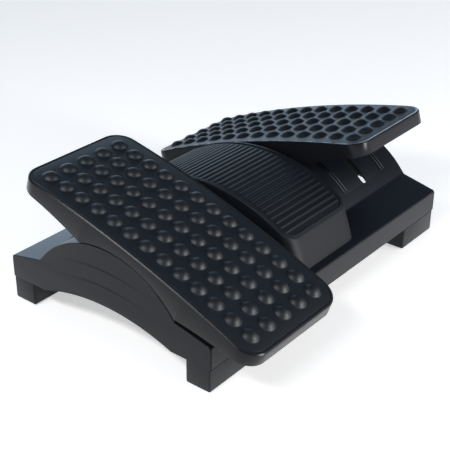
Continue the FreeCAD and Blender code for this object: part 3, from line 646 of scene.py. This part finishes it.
def makeDeckDetails():
    # runner ridges on top of each deck, guide flanges and screw posts below
    b, s = baseShape, screwShape
    top = b["rockerRadius"] + b["ridgeHeight"]
    under = b["rockerRadius"] - b["wall"] / 2
    ridge = archedStrip("ridge", under, top, b["ridgeReach"], b["ridgeWidth"], 64, b["ridgeEdge"])
    flange = archedStrip("flange", b["flangeRadius"], under, b["flangeReach"], b["flangeWall"], 48)
    parts = []
    for side in (-1, 1):
        for hand in (-1, 1):
            at = side * b["pedalAt"] + hand * (b["slotWidth"] + b["flangeWall"]) / 2
            parts.append(copyOf(flange, "flangeCopy", Matrix.Translation((at * mm, 0, 0))))
            for twin in (-1, 1):
                at = side * b["pedalAt"] + hand * (b["ridgeOffset"] + twin * b["ridgeSpacing"] / 2)
                parts.append(copyOf(ridge, "ridgeCopy", Matrix.Translation((at * mm, 0, 0))))
    bpy.data.objects.remove(ridge)
    bpy.data.objects.remove(flange)
    railTop = b["seam"] + railShape["plate"]
    for across in (-1, 0, 1):
        for along in (-1, 1):
            parts.append(makePost(across * s["railAt"][0], along * s["railAt"][1], railTop))
            if across:
                parts.append(makePost(across * s["coverAt"][0], along * s["coverAt"][1], s["coverSeat"]))
    return parts


# foot rails: closing plates with the four feet, and their rubber pads


railShape = {
    "depth": 32.4,
    "plate": 2.5,
    "plateEdge": 0.4,
    "halfWidth": 221.85,
    "back": 141.85,
    "upstand": 2.5,
    "upstandTop": 58.9,
    "upstandSink": 0.2,
    "upstandEdge": 0.3,
    "footWidth": 71.1,
    "footInset": 0.6,
    "footBottom": 1.0,
    "footCorner": 2.0,
    "footEdge": 1.8,
    "seamGap": 1.3,
    "seamDepth": 2.0,
    "seamPast": 1.0,  # how far the seam's cutter reaches past the foot
    "padMargin": 4.0,
    "padGap": 0.2,
    "padThickness": 2.5,
    "padCorner": 5.0,
    "padEdge": 0.4,
    "padGroove": 1.9,
    "grooveDepth": 0.5,
    "grooveSlope": 0.05,
}


def makeFoot():
    r, b = railShape, baseShape
    low = b["halfDepth"] - r["depth"]
    depth = r["depth"] - r["footInset"]
    x = b["halfWidth"] - r["footWidth"] / 2
    startPlan("foot", r["footWidth"], depth, r["footCorner"], 4)
    shift(x, low + depth / 2, r["footBottom"])
    pull(z=b["seam"] - r["footBottom"])
    faceOut()
    pickLoop(r["footBottom"])
    soften(r["footEdge"], 2)
    pick("FACE", lambda p, n: n.z < -facing and near(p.z, r["footBottom"]))
    inset(r["padMargin"] - r["padGap"] - r["footEdge"])
    pull(z=r["padThickness"] - r["footBottom"])
    foot = endEdit()
    back, past = b["halfDepth"] - r["footInset"], r["seamPast"]
    low = (x - r["footWidth"] / 2 - past, back - r["seamDepth"], b["seam"] - r["seamGap"])
    block("seam", low, (b["halfWidth"] - r["footCorner"] / 2, back + past, b["seam"] + past))
    return carve(foot, [endEdit()])


def makeRails():
    r, b = railShape, baseShape
    low, half = b["halfDepth"] - r["depth"], r["halfWidth"]
    foot = makeFoot()
    rails = {}
    for end, sign in ends:
        y0, y1 = sorted((sign * low, sign * r["back"]))
        block("plate", (-half, y0, b["seam"]), (half, y1, b["seam"] + r["plate"]), r["plateEdge"])
        plate = endEdit()
        y0, y1 = sorted((sign * low, sign * (low + r["upstand"])))
        bottom = b["seam"] + r["upstandSink"]
        block("upstand", (-half, y0, bottom), (half, y1, r["upstandTop"]), r["upstandEdge"])
        upstand = endEdit()
        feet = []
        for side in (-1, 1):
            twin = copyOf(foot, "footCopy", Matrix.Diagonal((side, sign, 1, 1)))
            if side * sign < 0:
                twin.data.flip_normals()  # a mirrored foot is inside out
            feet.append(twin)
        rails[end] = weld(end + "FootRail", [plate, upstand] + feet)
    bpy.data.objects.remove(foot)
    return rails


def makeFootPads():
    # one pad with two rings of grip grooves underneath, copied to the four feet
    r, b = railShape, baseShape
    depth = r["depth"] - r["footInset"]
    startPlan("pad", r["footWidth"] - 2 * r["padMargin"], depth - 2 * r["padMargin"], r["padCorner"], 6)
    pull(z=r["padThickness"])
    faceOut()
    pickLoop(0.0)
    soften(r["padEdge"], 2)
    # in and out twice, from the face in the middle
    for sign in (1, -1, 1, -1):
        pick("FACE", lambda p, n: n.z < -facing and abs(p.x) < 1 and abs(p.y) < 1)
        inset(r["padGroove"] / 2)
        inset(r["grooveSlope"])
        pull(z=sign * r["grooveDepth"])
    pad = endEdit(40.0)
    x = b["halfWidth"] - r["footInset"] - r["footWidth"] / 2
    y = b["halfDepth"] - r["footInset"] - depth / 2
    pads = {}
    for end, sign in ends:
        for side, hand in hands:
            move = Matrix.Translation((hand * x * mm, sign * y * mm, 0))
            pads[end, side] = copyOf(pad, f"{end}{side.capitalize()}Pad", move)
    bpy.data.objects.remove(pad)
    return pads


# centre cover: the ribbed bridge between the pedals


coverShape = {
    "halfWidth": 60.0,
    "crown": 131.0,
    "radius": 210.0,
    "topReach": 120.5,
    "footReach": 134.3,
    "corner": 18.0,
    "edge": 0.9,
    "blank": 40.0,  # height of the level block that is bent to shape
    "rows": 30,  # from the middle to each end
    "panelMargin": 3.2,
    "beadWidth": 1.2,
    "beadHeight": 0.3,
    "beadSlope": 0.25,
    "panelDepth": 0.9,
    "ribPitch": 7.6,
    "ribs": 31,
    "ribWidth": 5.2,
    "ribLength": 104.0,
    "ribSink": 0.6,
    "ribEnds": ((1.0, 0.85), (0.8, 0.6)),
}


def coverTop(y):
    c = coverShape
    return c["crown"] - c["radius"] + math.sqrt(c["radius"] ** 2 - y**2)


def makeRib():
    # a low rounded wave across the panel, tapered at both ends
    c = coverShape
    half = c["ribWidth"] / 2
    length = c["ribLength"] / 2 - sum(step for step, shrink in c["ribEnds"])
    radius = (half**2 + c["panelDepth"] ** 2) / (2 * c["panelDepth"])
    foot, low = -c["panelDepth"], -c["panelDepth"] - c["ribSink"]
    first = (-length, -half, low)
    startPoint("rib", first)
    here = drawTo(first, (-length, -half, foot))
    here = swing(here, (-length, half, foot), (-length, 0, -radius), 8)
    here = drawTo(here, (-length, half, low))
    drawTo(here, first)
    fillOutline()
    pull(x=2 * length)
    faceOut()
    for side in (-1, 1):
        pick("FACE", lambda p, n: n.x * side > facing)
        for step, shrink in c["ribEnds"]:
            pull(x=side * step)
            bpy.ops.transform.resize(value=(1, shrink, shrink))
    return endEdit(50.0)


def makeCover():
    c = coverShape
    middle = c["blank"] / 2
    startPlan("coverBridge", 2 * c["halfWidth"], 2 * c["topReach"], c["corner"], 10)
    pull(z=c["blank"])
    faceOut()
    pick("VERT", lambda p: p.z < middle)
    bpy.ops.transform.resize(value=(1, c["footReach"] / c["topReach"], 1))
    pickLoop(c["blank"])
    soften(c["edge"], 1)
    pick("FACE", lambda p, n: n.z > facing and abs(p.x) < 1)
    inset(c["panelMargin"] - c["edge"])
    inset(c["beadSlope"])
    shift(z=c["beadHeight"])
    inset(c["beadWidth"] - 2 * c["beadSlope"])
    inset(c["beadSlope"])
    shift(z=-(c["beadHeight"] + c["panelDepth"]))
    cutRows([c["topReach"] * k / c["rows"] for k in range(1 - c["rows"], c["rows"])])
    liftRows(lambda p: p.z > middle, lambda y: coverTop(y) - c["blank"])
    liftRows(lambda p: p.z < middle, baseTop)
    cover = endEdit()
    rib = makeRib()
    ribs = []
    centre = Matrix.Translation((0, 0, (c["crown"] - c["radius"]) * mm))
    up = Matrix.Translation((0, 0, c["radius"] * mm))
    for number in range(c["ribs"]):
        angle = (number - (c["ribs"] - 1) / 2) * c["ribPitch"] / c["radius"]
        ribs.append(copyOf(rib, "ribCopy", centre @ Matrix.Rotation(-angle, 4, "X") @ up))
    bpy.data.objects.remove(rib)
    print("cover with", len(ribs), "ribs")
    return weld("coverBridge", [cover] + ribs)


# pedals: tray, stiffeners and domed mat, made level and then rocked


pedalShape = {
    "width": 154.0,
    "length": 334.0,
    "corner": 24.0,
    "crown": 130.0,
    "crownRadius": 1316.0,
    "rim": 4.0,
    "recess": 3.0,
    "plate": 2.8,
    "wall": 3.0,
    "topEdge": 1.1,
    "rimEdge": 0.15,
    "skirtEdge": 0.6,
    "skirtInnerEdge": 0.36,
    "blank": 16.0,  # depth of the level tray that is bent to shape
    "skirtFrom": 10.0,  # what lies deeper in it follows the skirt's lower edge
    "rows": 24,  # from the middle to each end
    "saddleRadius": 123.7,
    "saddleReach": 70.0,
    "skirtEnd": 103.6,
    "skirtStep": 1.2,
    "skirtStepFade": 40.0,
    "bowRadius": 560.0,
    "rise": 4.0,
    "glideSeat": 127.3,
    "keelTop": 126.0,
    "ribWall": 2.5,
    "ribAt": 42.5,
    "ribSink": 0.5,
    "crossRibs": (72.0, 118.0),
    "beamHalf": 9.0,
    "beamReach": 58.4,
    "barBlank": 10.0,
    "barRows": 40,
}
matShape = {
    "gap": 0.12,
    "edge": 0.2,
    "bed": 0.05,
    "rowPitch": 6.0,
    "rows": 26,
    "domeRadius": 9.3,
    "domeHeight": 5.3,
    "domeFoot": 2.8,
    "domeSink": 0.4,
    "acrossPitch": 26.5,
    "alongPitch": 23.9,
    "domesAcross": 5,
    "domesAlong": 13,
}


def crownAt(y):
    p = pedalShape
    return p["crown"] - p["crownRadius"] + math.sqrt(p["crownRadius"] ** 2 - y**2)


def skirtAt(y, saddle, lift=0.0):
    # lower edge: a saddle over the deck, then a gentle bow out to the end
    p = pedalShape
    y, reach, bow = abs(y), p["saddleReach"], p["bowRadius"]
    if y <= reach:
        return math.sqrt(saddle**2 - y**2) - baseShape["rockerDrop"]
    start = Vector((reach, math.sqrt(saddle**2 - reach**2) - baseShape["rockerDrop"]))
    end = Vector((p["length"] / 2, p["skirtEnd"] + lift))
    chord = end - start
    down = Vector((chord.y, -chord.x)).normalized()
    centre = (start + end) / 2 + down * math.sqrt(bow**2 - (chord.length / 2) ** 2)
    step = p["skirtStep"] * min(1.0, y - reach) * min(1.0, (p["length"] / 2 - y) / p["skirtStepFade"])
    return centre.y + math.sqrt(bow**2 - (y - centre.x) ** 2) + step


def insideTray(point):
    # how far a point lies inside the tray's round-cornered outline
    p = pedalShape
    qx = abs(point.x) - (p["width"] / 2 - p["corner"])
    qy = abs(point.y) - (p["length"] / 2 - p["corner"])
    outside = math.hypot(max(qx, 0), max(qy, 0)) + min(max(qx, qy), 0)
    return p["corner"] - outside


def makeTray():
    p = pedalShape
    depth = p["blank"]
    startPlan("tray", p["width"], p["length"], p["corner"], 12)
    shift(z=-depth)
    pull(z=depth)
    faceOut()
    pick("FACE", lambda q, n: n.z > facing)
    inset(p["rim"])
    pull(z=-p["recess"])
    pick("FACE", lambda q, n: n.z < -facing)
    inset(p["wall"])
    pull(z=depth - p["recess"] - p["plate"])
    slack = 0.5  # an edge is picked by how far in it lies, give or take this
    outer = lambda q: insideTray(q) < slack
    pickLoop(0, outer)
    soften(p["topEdge"], 1)
    pickLoop(0, lambda q: insideTray(q) > p["rim"] - slack)
    soften(p["rimEdge"], 2)
    pickLoop(-depth, outer)
    soften(p["skirtEdge"], 2)
    pickLoop(-depth, lambda q: insideTray(q) > p["wall"] - slack)
    soften(p["skirtInnerEdge"], 2)
    straight = p["length"] / 2 - p["corner"]
    cutRows([k * straight / p["rows"] for k in range(-p["rows"], p["rows"] + 1)])
    cutRows([side * (p["saddleReach"] + step) for side in (-1, 1) for step in (0, 1)])
    liftRows(lambda q: q.z > -p["skirtFrom"], crownAt)
    liftRows(lambda q: q.z < -p["skirtFrom"], lambda y: skirtAt(y, p["saddleRadius"]) + depth)
    return endEdit(35.0)


def hangingBar(name, low, high, saddle):
    # a rib under the top plate whose lower edge clears the deck
    p = pedalShape
    top = p["recess"] + p["plate"] / 2
    depth, length = p["barBlank"], high[1] - low[1]
    block(name, (*low, -depth), (*high, 0))
    if length > 2 * depth:
        cutRows([low[1] + length * k / p["barRows"] for k in range(1, p["barRows"])])
    liftRows(lambda q: q.z > -depth / 2, lambda y: crownAt(y) - top)
    liftRows(lambda q: q.z < -depth / 2, lambda y: skirtAt(y, saddle, p["rise"]) + depth)
    return endEdit()


def makeStiffeners():
    # ribs that hold the glides, cross ribs, and the beam that the keel's screws enter
    p = pedalShape
    bars = []
    end = p["length"] / 2 - p["wall"] + p["ribSink"]
    side = p["width"] / 2 - p["wall"] + p["ribSink"]
    half = p["ribWall"] / 2
    for hand in (-1, 1):
        x = hand * p["ribAt"]
        bars.append(hangingBar("glideRib", (x - half, -end), (x + half, end), p["glideSeat"]))
        for reach in p["crossRibs"]:
            y = hand * reach
            bars.append(hangingBar("crossRib", (-side, y - half), (side, y + half), p["glideSeat"]))
    corner = (p["beamHalf"], p["beamReach"])
    bars.append(hangingBar("beam", (-corner[0], -corner[1]), corner, p["keelTop"]))
    return bars


def makeDome():
    # one dome with a small fillet at its foot, turned about its own middle
    m = matShape
    radius = (m["domeRadius"] ** 2 + m["domeHeight"] ** 2) / (2 * m["domeHeight"])
    low = radius - m["domeHeight"]
    foot = m["domeFoot"]
    footX = math.sqrt((radius + foot) ** 2 - (low + foot) ** 2)
    touch = Vector((footX, foot + low)) * (radius / (radius + foot))
    top = (0, 0, m["domeHeight"])
    startPoint("dome", top)
    here = swing(top, (touch.x, 0, touch.y - low), (0, 0, -low), 9, axis=(0, 1, 0))
    here = swing(here, (footX, 0, 0), (footX, 0, foot), 4, axis=(0, 1, 0))
    drawTo(here, (footX, 0, -m["domeSink"]))
    bpy.ops.mesh.select_all(action="SELECT")
    bpy.ops.mesh.spin(steps=36, angle=2 * math.pi, center=(0, 0, 0), axis=(0, 0, 1))
    return endEdit(60.0)


def makeMat():
    p, m = pedalShape, matShape
    margin = p["rim"] + m["gap"]
    thick = p["recess"] - m["bed"]
    startPlan("mat", p["width"] - 2 * margin, p["length"] - 2 * margin, p["corner"] - margin, 12)
    shift(z=-thick)
    pull(z=thick)
    faceOut()
    pickLoop(0)
    soften(m["edge"], 3)
    cutRows([k * m["rowPitch"] for k in range(-m["rows"], m["rows"] + 1)])
    liftRows(lambda q: True, crownAt)
    mat = endEdit(35.0)
    dome = makeDome()
    domes = []
    centre = Matrix.Translation((0, 0, (p["crown"] - p["crownRadius"]) * mm))
    up = Matrix.Translation((0, 0, p["crownRadius"] * mm))
    for column in range(m["domesAcross"]):
        x = (column - (m["domesAcross"] - 1) / 2) * m["acrossPitch"]
        across = Matrix.Translation((x * mm, 0, 0))
        for row in range(m["domesAlong"]):
            angle = (row - (m["domesAlong"] - 1) / 2) * m["alongPitch"] / p["crownRadius"]
            domes.append(copyOf(dome, "domeCopy", across @ centre @ Matrix.Rotation(-angle, 4, "X") @ up))
    bpy.data.objects.remove(dome)
    print("mat with", len(domes), "domes")
    return weld("mat", [mat] + domes)


def rockTo(side):
    # where a level pedal piece goes: over its deck and against its stop
    axis = Matrix.Translation((0, 0, rocker[2] * mm))
    turn = Matrix.Rotation(-side * math.radians(baseShape["tilt"]), 4, "X")
    return Matrix.Translation((side * baseShape["pedalAt"] * mm, 0, 0)) @ axis @ turn @ axis.inverted()


# screws: pan heads with a cross recess


screwShape = {
    "post": 9.0,
    "shank": 4.0,
    "shankSink": 0.2,
    "tipEdge": 0.9,
    "head": 7.6,
    "headHeight": 2.6,
    "headRound": 1.1,
    "recess": 1.4,
    "recessWidth": 0.9,
    "recessLength": 3.8,
    "recessTaper": 0.75,
    "railAt": (105.0, 128.8),
    "railLength": 17.0,
    "coverAt": (42.0, 70.0),
    "coverSeat": 80.0,
    "coverLength": 29.0,
    "guideAt": 36.0,
    "guideSeat": 89.0,
    "guideLength": 29.0,
}


def makeScrew(name, length):
    # head downward, its seat at height 0
    s = screwShape
    tall = s["headHeight"]
    rod(s["head"], tall, 40)
    bpy.ops.object.mode_set(mode="EDIT")
    shift(z=-tall / 2)
    pickLoop(-tall)
    soften(s["headRound"], 4)
    head = endEdit()
    cutters = []
    for wide, deep in ((s["recessLength"], s["recessWidth"]), (s["recessWidth"], s["recessLength"])):
        block("cross", (-wide / 2, -deep / 2, -tall - 1), (wide / 2, deep / 2, -tall + s["recess"]))
        pick("VERT", lambda q: q.z > -tall)
        bpy.ops.transform.resize(value=(s["recessTaper"], s["recessTaper"], 1))
        cutters.append(endEdit())
    carve(head, cutters)
    rod(s["shank"], length, 24)
    bpy.ops.object.mode_set(mode="EDIT")
    shift(z=length / 2 - s["shankSink"])
    pickLoop(length - s["shankSink"])
    soften(s["tipEdge"], 2)
    return weld(name, [head, endEdit()])


def placeScrews(name, length, spots, move=Matrix()):
    screw = makeScrew("screw", length)
    copies = [copyOf(screw, "screwCopy", Matrix.Translation(Vector(spot) * mm)) for spot in spots]
    bpy.data.objects.remove(screw)
    group = weld(name, copies)
    group.matrix_world = move
    return settle(group)


# looks of the plastics, rubbers and metal


shellLook = {
    "colour": (0.0036, 0.0046, 0.0066), "spread": 1.5, "shine": 0.26, "roughness": 0.35,
    "cloudiness": 0.08, "cloudScale": 16.0, "grainScale": 1500.0, "grainDepth": 0.006,
    "rubScale": 55.0, "rubStretch": (1.0, 1.0, 0.4), "rubShine": 0.5,
}
railLook = {**shellLook, "shine": 0.21}
# the cheek arcs: a shallow dip, with painted shade that darkens their colour and dulls their reflection
sinkShadeLook = {
    "from": 224.4, "width": 2.4, "depth": 0.12, "shade": 0.35, "shadeDull": 0.38, "roughen": 0.08,
    "colour": (0.002, 0.002, 0.0025, 1.0),
    "arcs": ((-174.0, 264.0, 84.0), (-194.0, 264.0, 86.0)),  # height of the centre, radius, reach
}
# painted highlight: the pale colour on the runner ridges' crests
ridgeHighlightLook = {"from": 0.9, "above": 78.0, "end": 84.0, "reach": 26.0, "colour": (0.075, 0.08, 0.085, 1.0)}
pedalLook = {
    "colour": (0.0062, 0.007, 0.0086), "spread": 1.35, "shine": 0.128, "roughness": 0.2,
    "cloudiness": 0.05, "cloudScale": 20.0, "grainScale": 1700.0, "grainDepth": 0.005,
    "rubScale": 70.0, "rubStretch": (1.0, 0.5, 1.0), "rubShine": 0.15,
}
rimLook = {"from": 0.85, "coat": 0.45, "roughness": 0.46}
coverLook = {
    "colour": (0.0044, 0.0056, 0.0076), "spread": 1.5, "shine": 0.165, "roughness": 0.5,
    "cloudiness": 0.07, "cloudScale": 18.0, "grainScale": 1700.0, "grainDepth": 0.005,
    "rubScale": 70.0, "rubStretch": (0.5, 1.0, 1.0), "rubShine": 0.4,
}
domeLook = {
    "colour": (0.0043, 0.006, 0.0086), "spread": 1.4, "shine": 0.34, "roughness": 0.46,
    "cloudiness": 0.09, "cloudScale": 16.0, "grainScale": 2200.0, "grainDepth": 0.004,
    "rubScale": 40.0, "rubStretch": (1.0, 1.0, 1.0), "rubShine": 0.5,
}
padLook = {
    "colour": (0.016, 0.016, 0.017), "spread": 1.4, "shine": 0.4, "roughness": 0.72,
    "cloudiness": 0.1, "cloudScale": 40.0, "grainScale": 1200.0, "grainDepth": 0.012,
    "rubScale": 90.0, "rubStretch": (1.0, 1.0, 1.0), "rubShine": 0.5,
}
keelLook = {
    "colour": (0.02, 0.02, 0.022), "spread": 1.3, "shine": 0.5, "roughness": 0.34,
    "cloudiness": 0.06, "cloudScale": 60.0, "grainScale": 2500.0, "grainDepth": 0.003,
    "rubScale": 120.0, "rubStretch": (1.0, 0.2, 1.0), "rubShine": 0.4,
}
glideLook = {
    "colour": (0.55, 0.53, 0.46), "spread": 1.12, "shine": 0.5, "roughness": 0.4,
    "cloudiness": 0.08, "cloudScale": 80.0, "grainScale": 2000.0, "grainDepth": 0.003,
    "rubScale": 120.0, "rubStretch": (1.0, 0.2, 1.0), "rubShine": 0.4,
}
blackShell = wireUp(ridgeHighlight(sinkMarksAndShade(mouldedPlastic("blackShell", shellLook), sinkShadeLook), ridgeHighlightLook))
blackRail = wireUp(mouldedPlastic("blackRail", railLook))
blackPedal = wireUp(satinTop(mouldedPlastic("blackPedal", pedalLook), rimLook))
blackCover = wireUp(mouldedPlastic("blackCover", coverLook))
domeRubber = wireUp(mouldedPlastic("domeRubber", domeLook))
footRubber = wireUp(mouldedPlastic("footRubber", padLook))
blackAcetal = wireUp(mouldedPlastic("blackAcetal", keelLook))
paleNylon = wireUp(mouldedPlastic("paleNylon", glideLook))
zinc = zincPlate(zincLook)

# making it all


def dress(piece, finish, slot, body, *nodes):
    piece.data.materials.clear()
    piece.data.materials.append(finish.material)
    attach(piece, body)
    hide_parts(*nodes)


print("base")
base = weld("baseBody", [makeBase()] + makeDeckDetails())
dress(base, blackShell, "shell_plastic", "base", "base_shell")

print("foot rails and pads")
for end, rail in makeRails().items():
    dress(rail, blackRail, "rail_plastic", "base", end + "_foot_rail")
for (end, side), pad in makeFootPads().items():
    dress(pad, footRubber, "foot_rubber", "base", f"{end}_{side}_foot_pad")

print("centre cover")
dress(makeCover(), blackCover, "cover_plastic", "base", "centre_cover")

print("pedals")
levelTray = weld("levelTray", [makeTray()] + makeStiffeners())
levelMat = makeMat()
for side, hand in hands:
    tray = copyOf(levelTray, side + "Tray", rockTo(hand))
    dress(tray, blackPedal, "pedal_plastic", side + "_pedal", side + "_pedal_shell")
    mat = copyOf(levelMat, side + "Mat", rockTo(hand))
    dress(mat, domeRubber, "mat_rubber", side + "_pedal", side + "_tread_mat")
bpy.data.objects.remove(levelTray)
bpy.data.objects.remove(levelMat)

print("screws")
s = screwShape
for end, sign in ends:
    spots = [(k * s["railAt"][0], sign * s["railAt"][1], baseShape["seam"]) for k in (-1, 0, 1)]
    screws = placeScrews(end + "RailScrews", s["railLength"], spots)
    dress(screws, zinc, "zinc_steel", "base", end + "_rail_screws")
spots = [(i * s["coverAt"][0], j * s["coverAt"][1], s["coverSeat"]) for i in (-1, 1) for j in (-1, 1)]
dress(placeScrews("coverScrews", s["coverLength"], spots), zinc, "zinc_steel", "base", "cover_screws")
for side, hand in hands:
    spots = [(0, k * s["guideAt"], s["guideSeat"]) for k in (-1, 1)]
    screws = placeScrews(side + "GuideScrews", s["guideLength"], spots, rockTo(hand))
    dress(screws, zinc, "zinc_steel", side + "_pedal", side + "_guide_screws")

print("hidden running parts")
running = {
    "inner_glide": paleNylon, "outer_glide": paleNylon, "guide_keel": blackAcetal,
    "retainer_plate": blackAcetal, "spring_washers": zinc,
}
for side in ("left", "right"):
    for part, finish in running.items():
        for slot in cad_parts[f"{side}_{part}"].material_slots:
            slot.material = finish.material

# studio


studioLook = {
    "floor": (0.815, 0.8, 0.79),
    "floorSize": 60.0,
    "floorRoughness": 0.9,
    "floorCloud": 3.0,
    "floorSpread": 1.02,
    "floorGlow": 0.5,
    "glowReach": (1.8, 3.6),
    "room": (0.085, 0.115, 0.15),
    "backGlow": (1.58, 2.03, 2.55),
    "backAt": (0.55, 0.83, 0.09),
    "backSpread": (0.82, 0.97),
    "aim": (0.0, 0.0, 0.06),
    "softboxes": (
        # place, width, height, power, colour
        ((0.9, -2.1, 0.82), 2.4, 1.5, 36.0, (1.0, 0.99, 0.97)),
        ((-0.88, 0.02, 0.88), 0.9, 0.15, 8.5, (0.98, 0.99, 1.0)),
        ((0.45, -2.25, 0.42), 0.55, 0.84, 38.0, (1.0, 0.99, 0.98)),
        ((-2.25, -1.0, 0.42), 0.2, 0.84, 10.0, (1.0, 0.99, 0.98)),
    ),
}


def makeFloor(look):
    # white paper that glows a little round the object, as on a light table
    bpy.ops.object.select_all(action="DESELECT")
    bpy.ops.mesh.primitive_plane_add(size=look["floorSize"], location=(0, 0, 0))
    floor = bpy.context.object
    floor.name = "floor"
    paper = Finish("paper", Roughness=look["floorRoughness"], Emission_Strength=look["floorGlow"])
    place = paper.place()
    cloud = paper.noise(place, look["floorCloud"])
    away = paper.node("ShaderNodeVectorMath", {"operation": "LENGTH"}, {0: place}, output="Value")
    fade = paper.ease(away, *look["glowReach"])
    paper.send(paper.blend(fade, (1.0, 1.0, 1.0, 1.0), (0.0, 0.0, 0.0, 1.0)), "Emission Color")
    low = (*look["floor"], 1.0)
    high = (*[c * look["floorSpread"] for c in look["floor"]], 1.0)
    paper.send(paper.blend(cloud, low, high), "Base Color")
    floor.data.materials.append(paper.material)


def makeRoom(look):
    # a dim room with a pale screen low behind the object
    world = bpy.data.worlds.new("studio")
    world.use_nodes = True
    room = Wiring(world.node_tree)
    where = room.node("ShaderNodeTexCoord", output="Generated")
    towards = {0: where, 1: Vector(look["backAt"]).normalized()}
    along = room.node("ShaderNodeVectorMath", {"operation": "DOT_PRODUCT"}, towards, output="Value")
    glow = room.ease(along, *look["backSpread"])
    colour = room.blend(glow, (*look["room"], 1.0), (*look["backGlow"], 1.0))
    room.tree.links.new(colour.socket, room.tree.nodes["Background"].inputs["Color"])
    bpy.context.scene.world = world


def makeLights(look):
    for number, (place, width, height, power, colour) in enumerate(look["softboxes"]):
        lamp = bpy.data.lights.new(f"softbox{number}", "AREA")
        lamp.shape = "RECTANGLE"
        lamp.size = width
        lamp.size_y = height
        lamp.energy = power
        lamp.color = colour
        box = bpy.data.objects.new(lamp.name, lamp)
        box.location = place
        box.rotation_euler = (Vector(look["aim"]) - Vector(place)).to_track_quat("-Z", "Y").to_euler()
        bpy.context.scene.collection.objects.link(box)


makeFloor(studioLook)
makeRoom(studioLook)
makeLights(studioLook)
bpy.context.scene.view_settings.view_transform = "Standard"
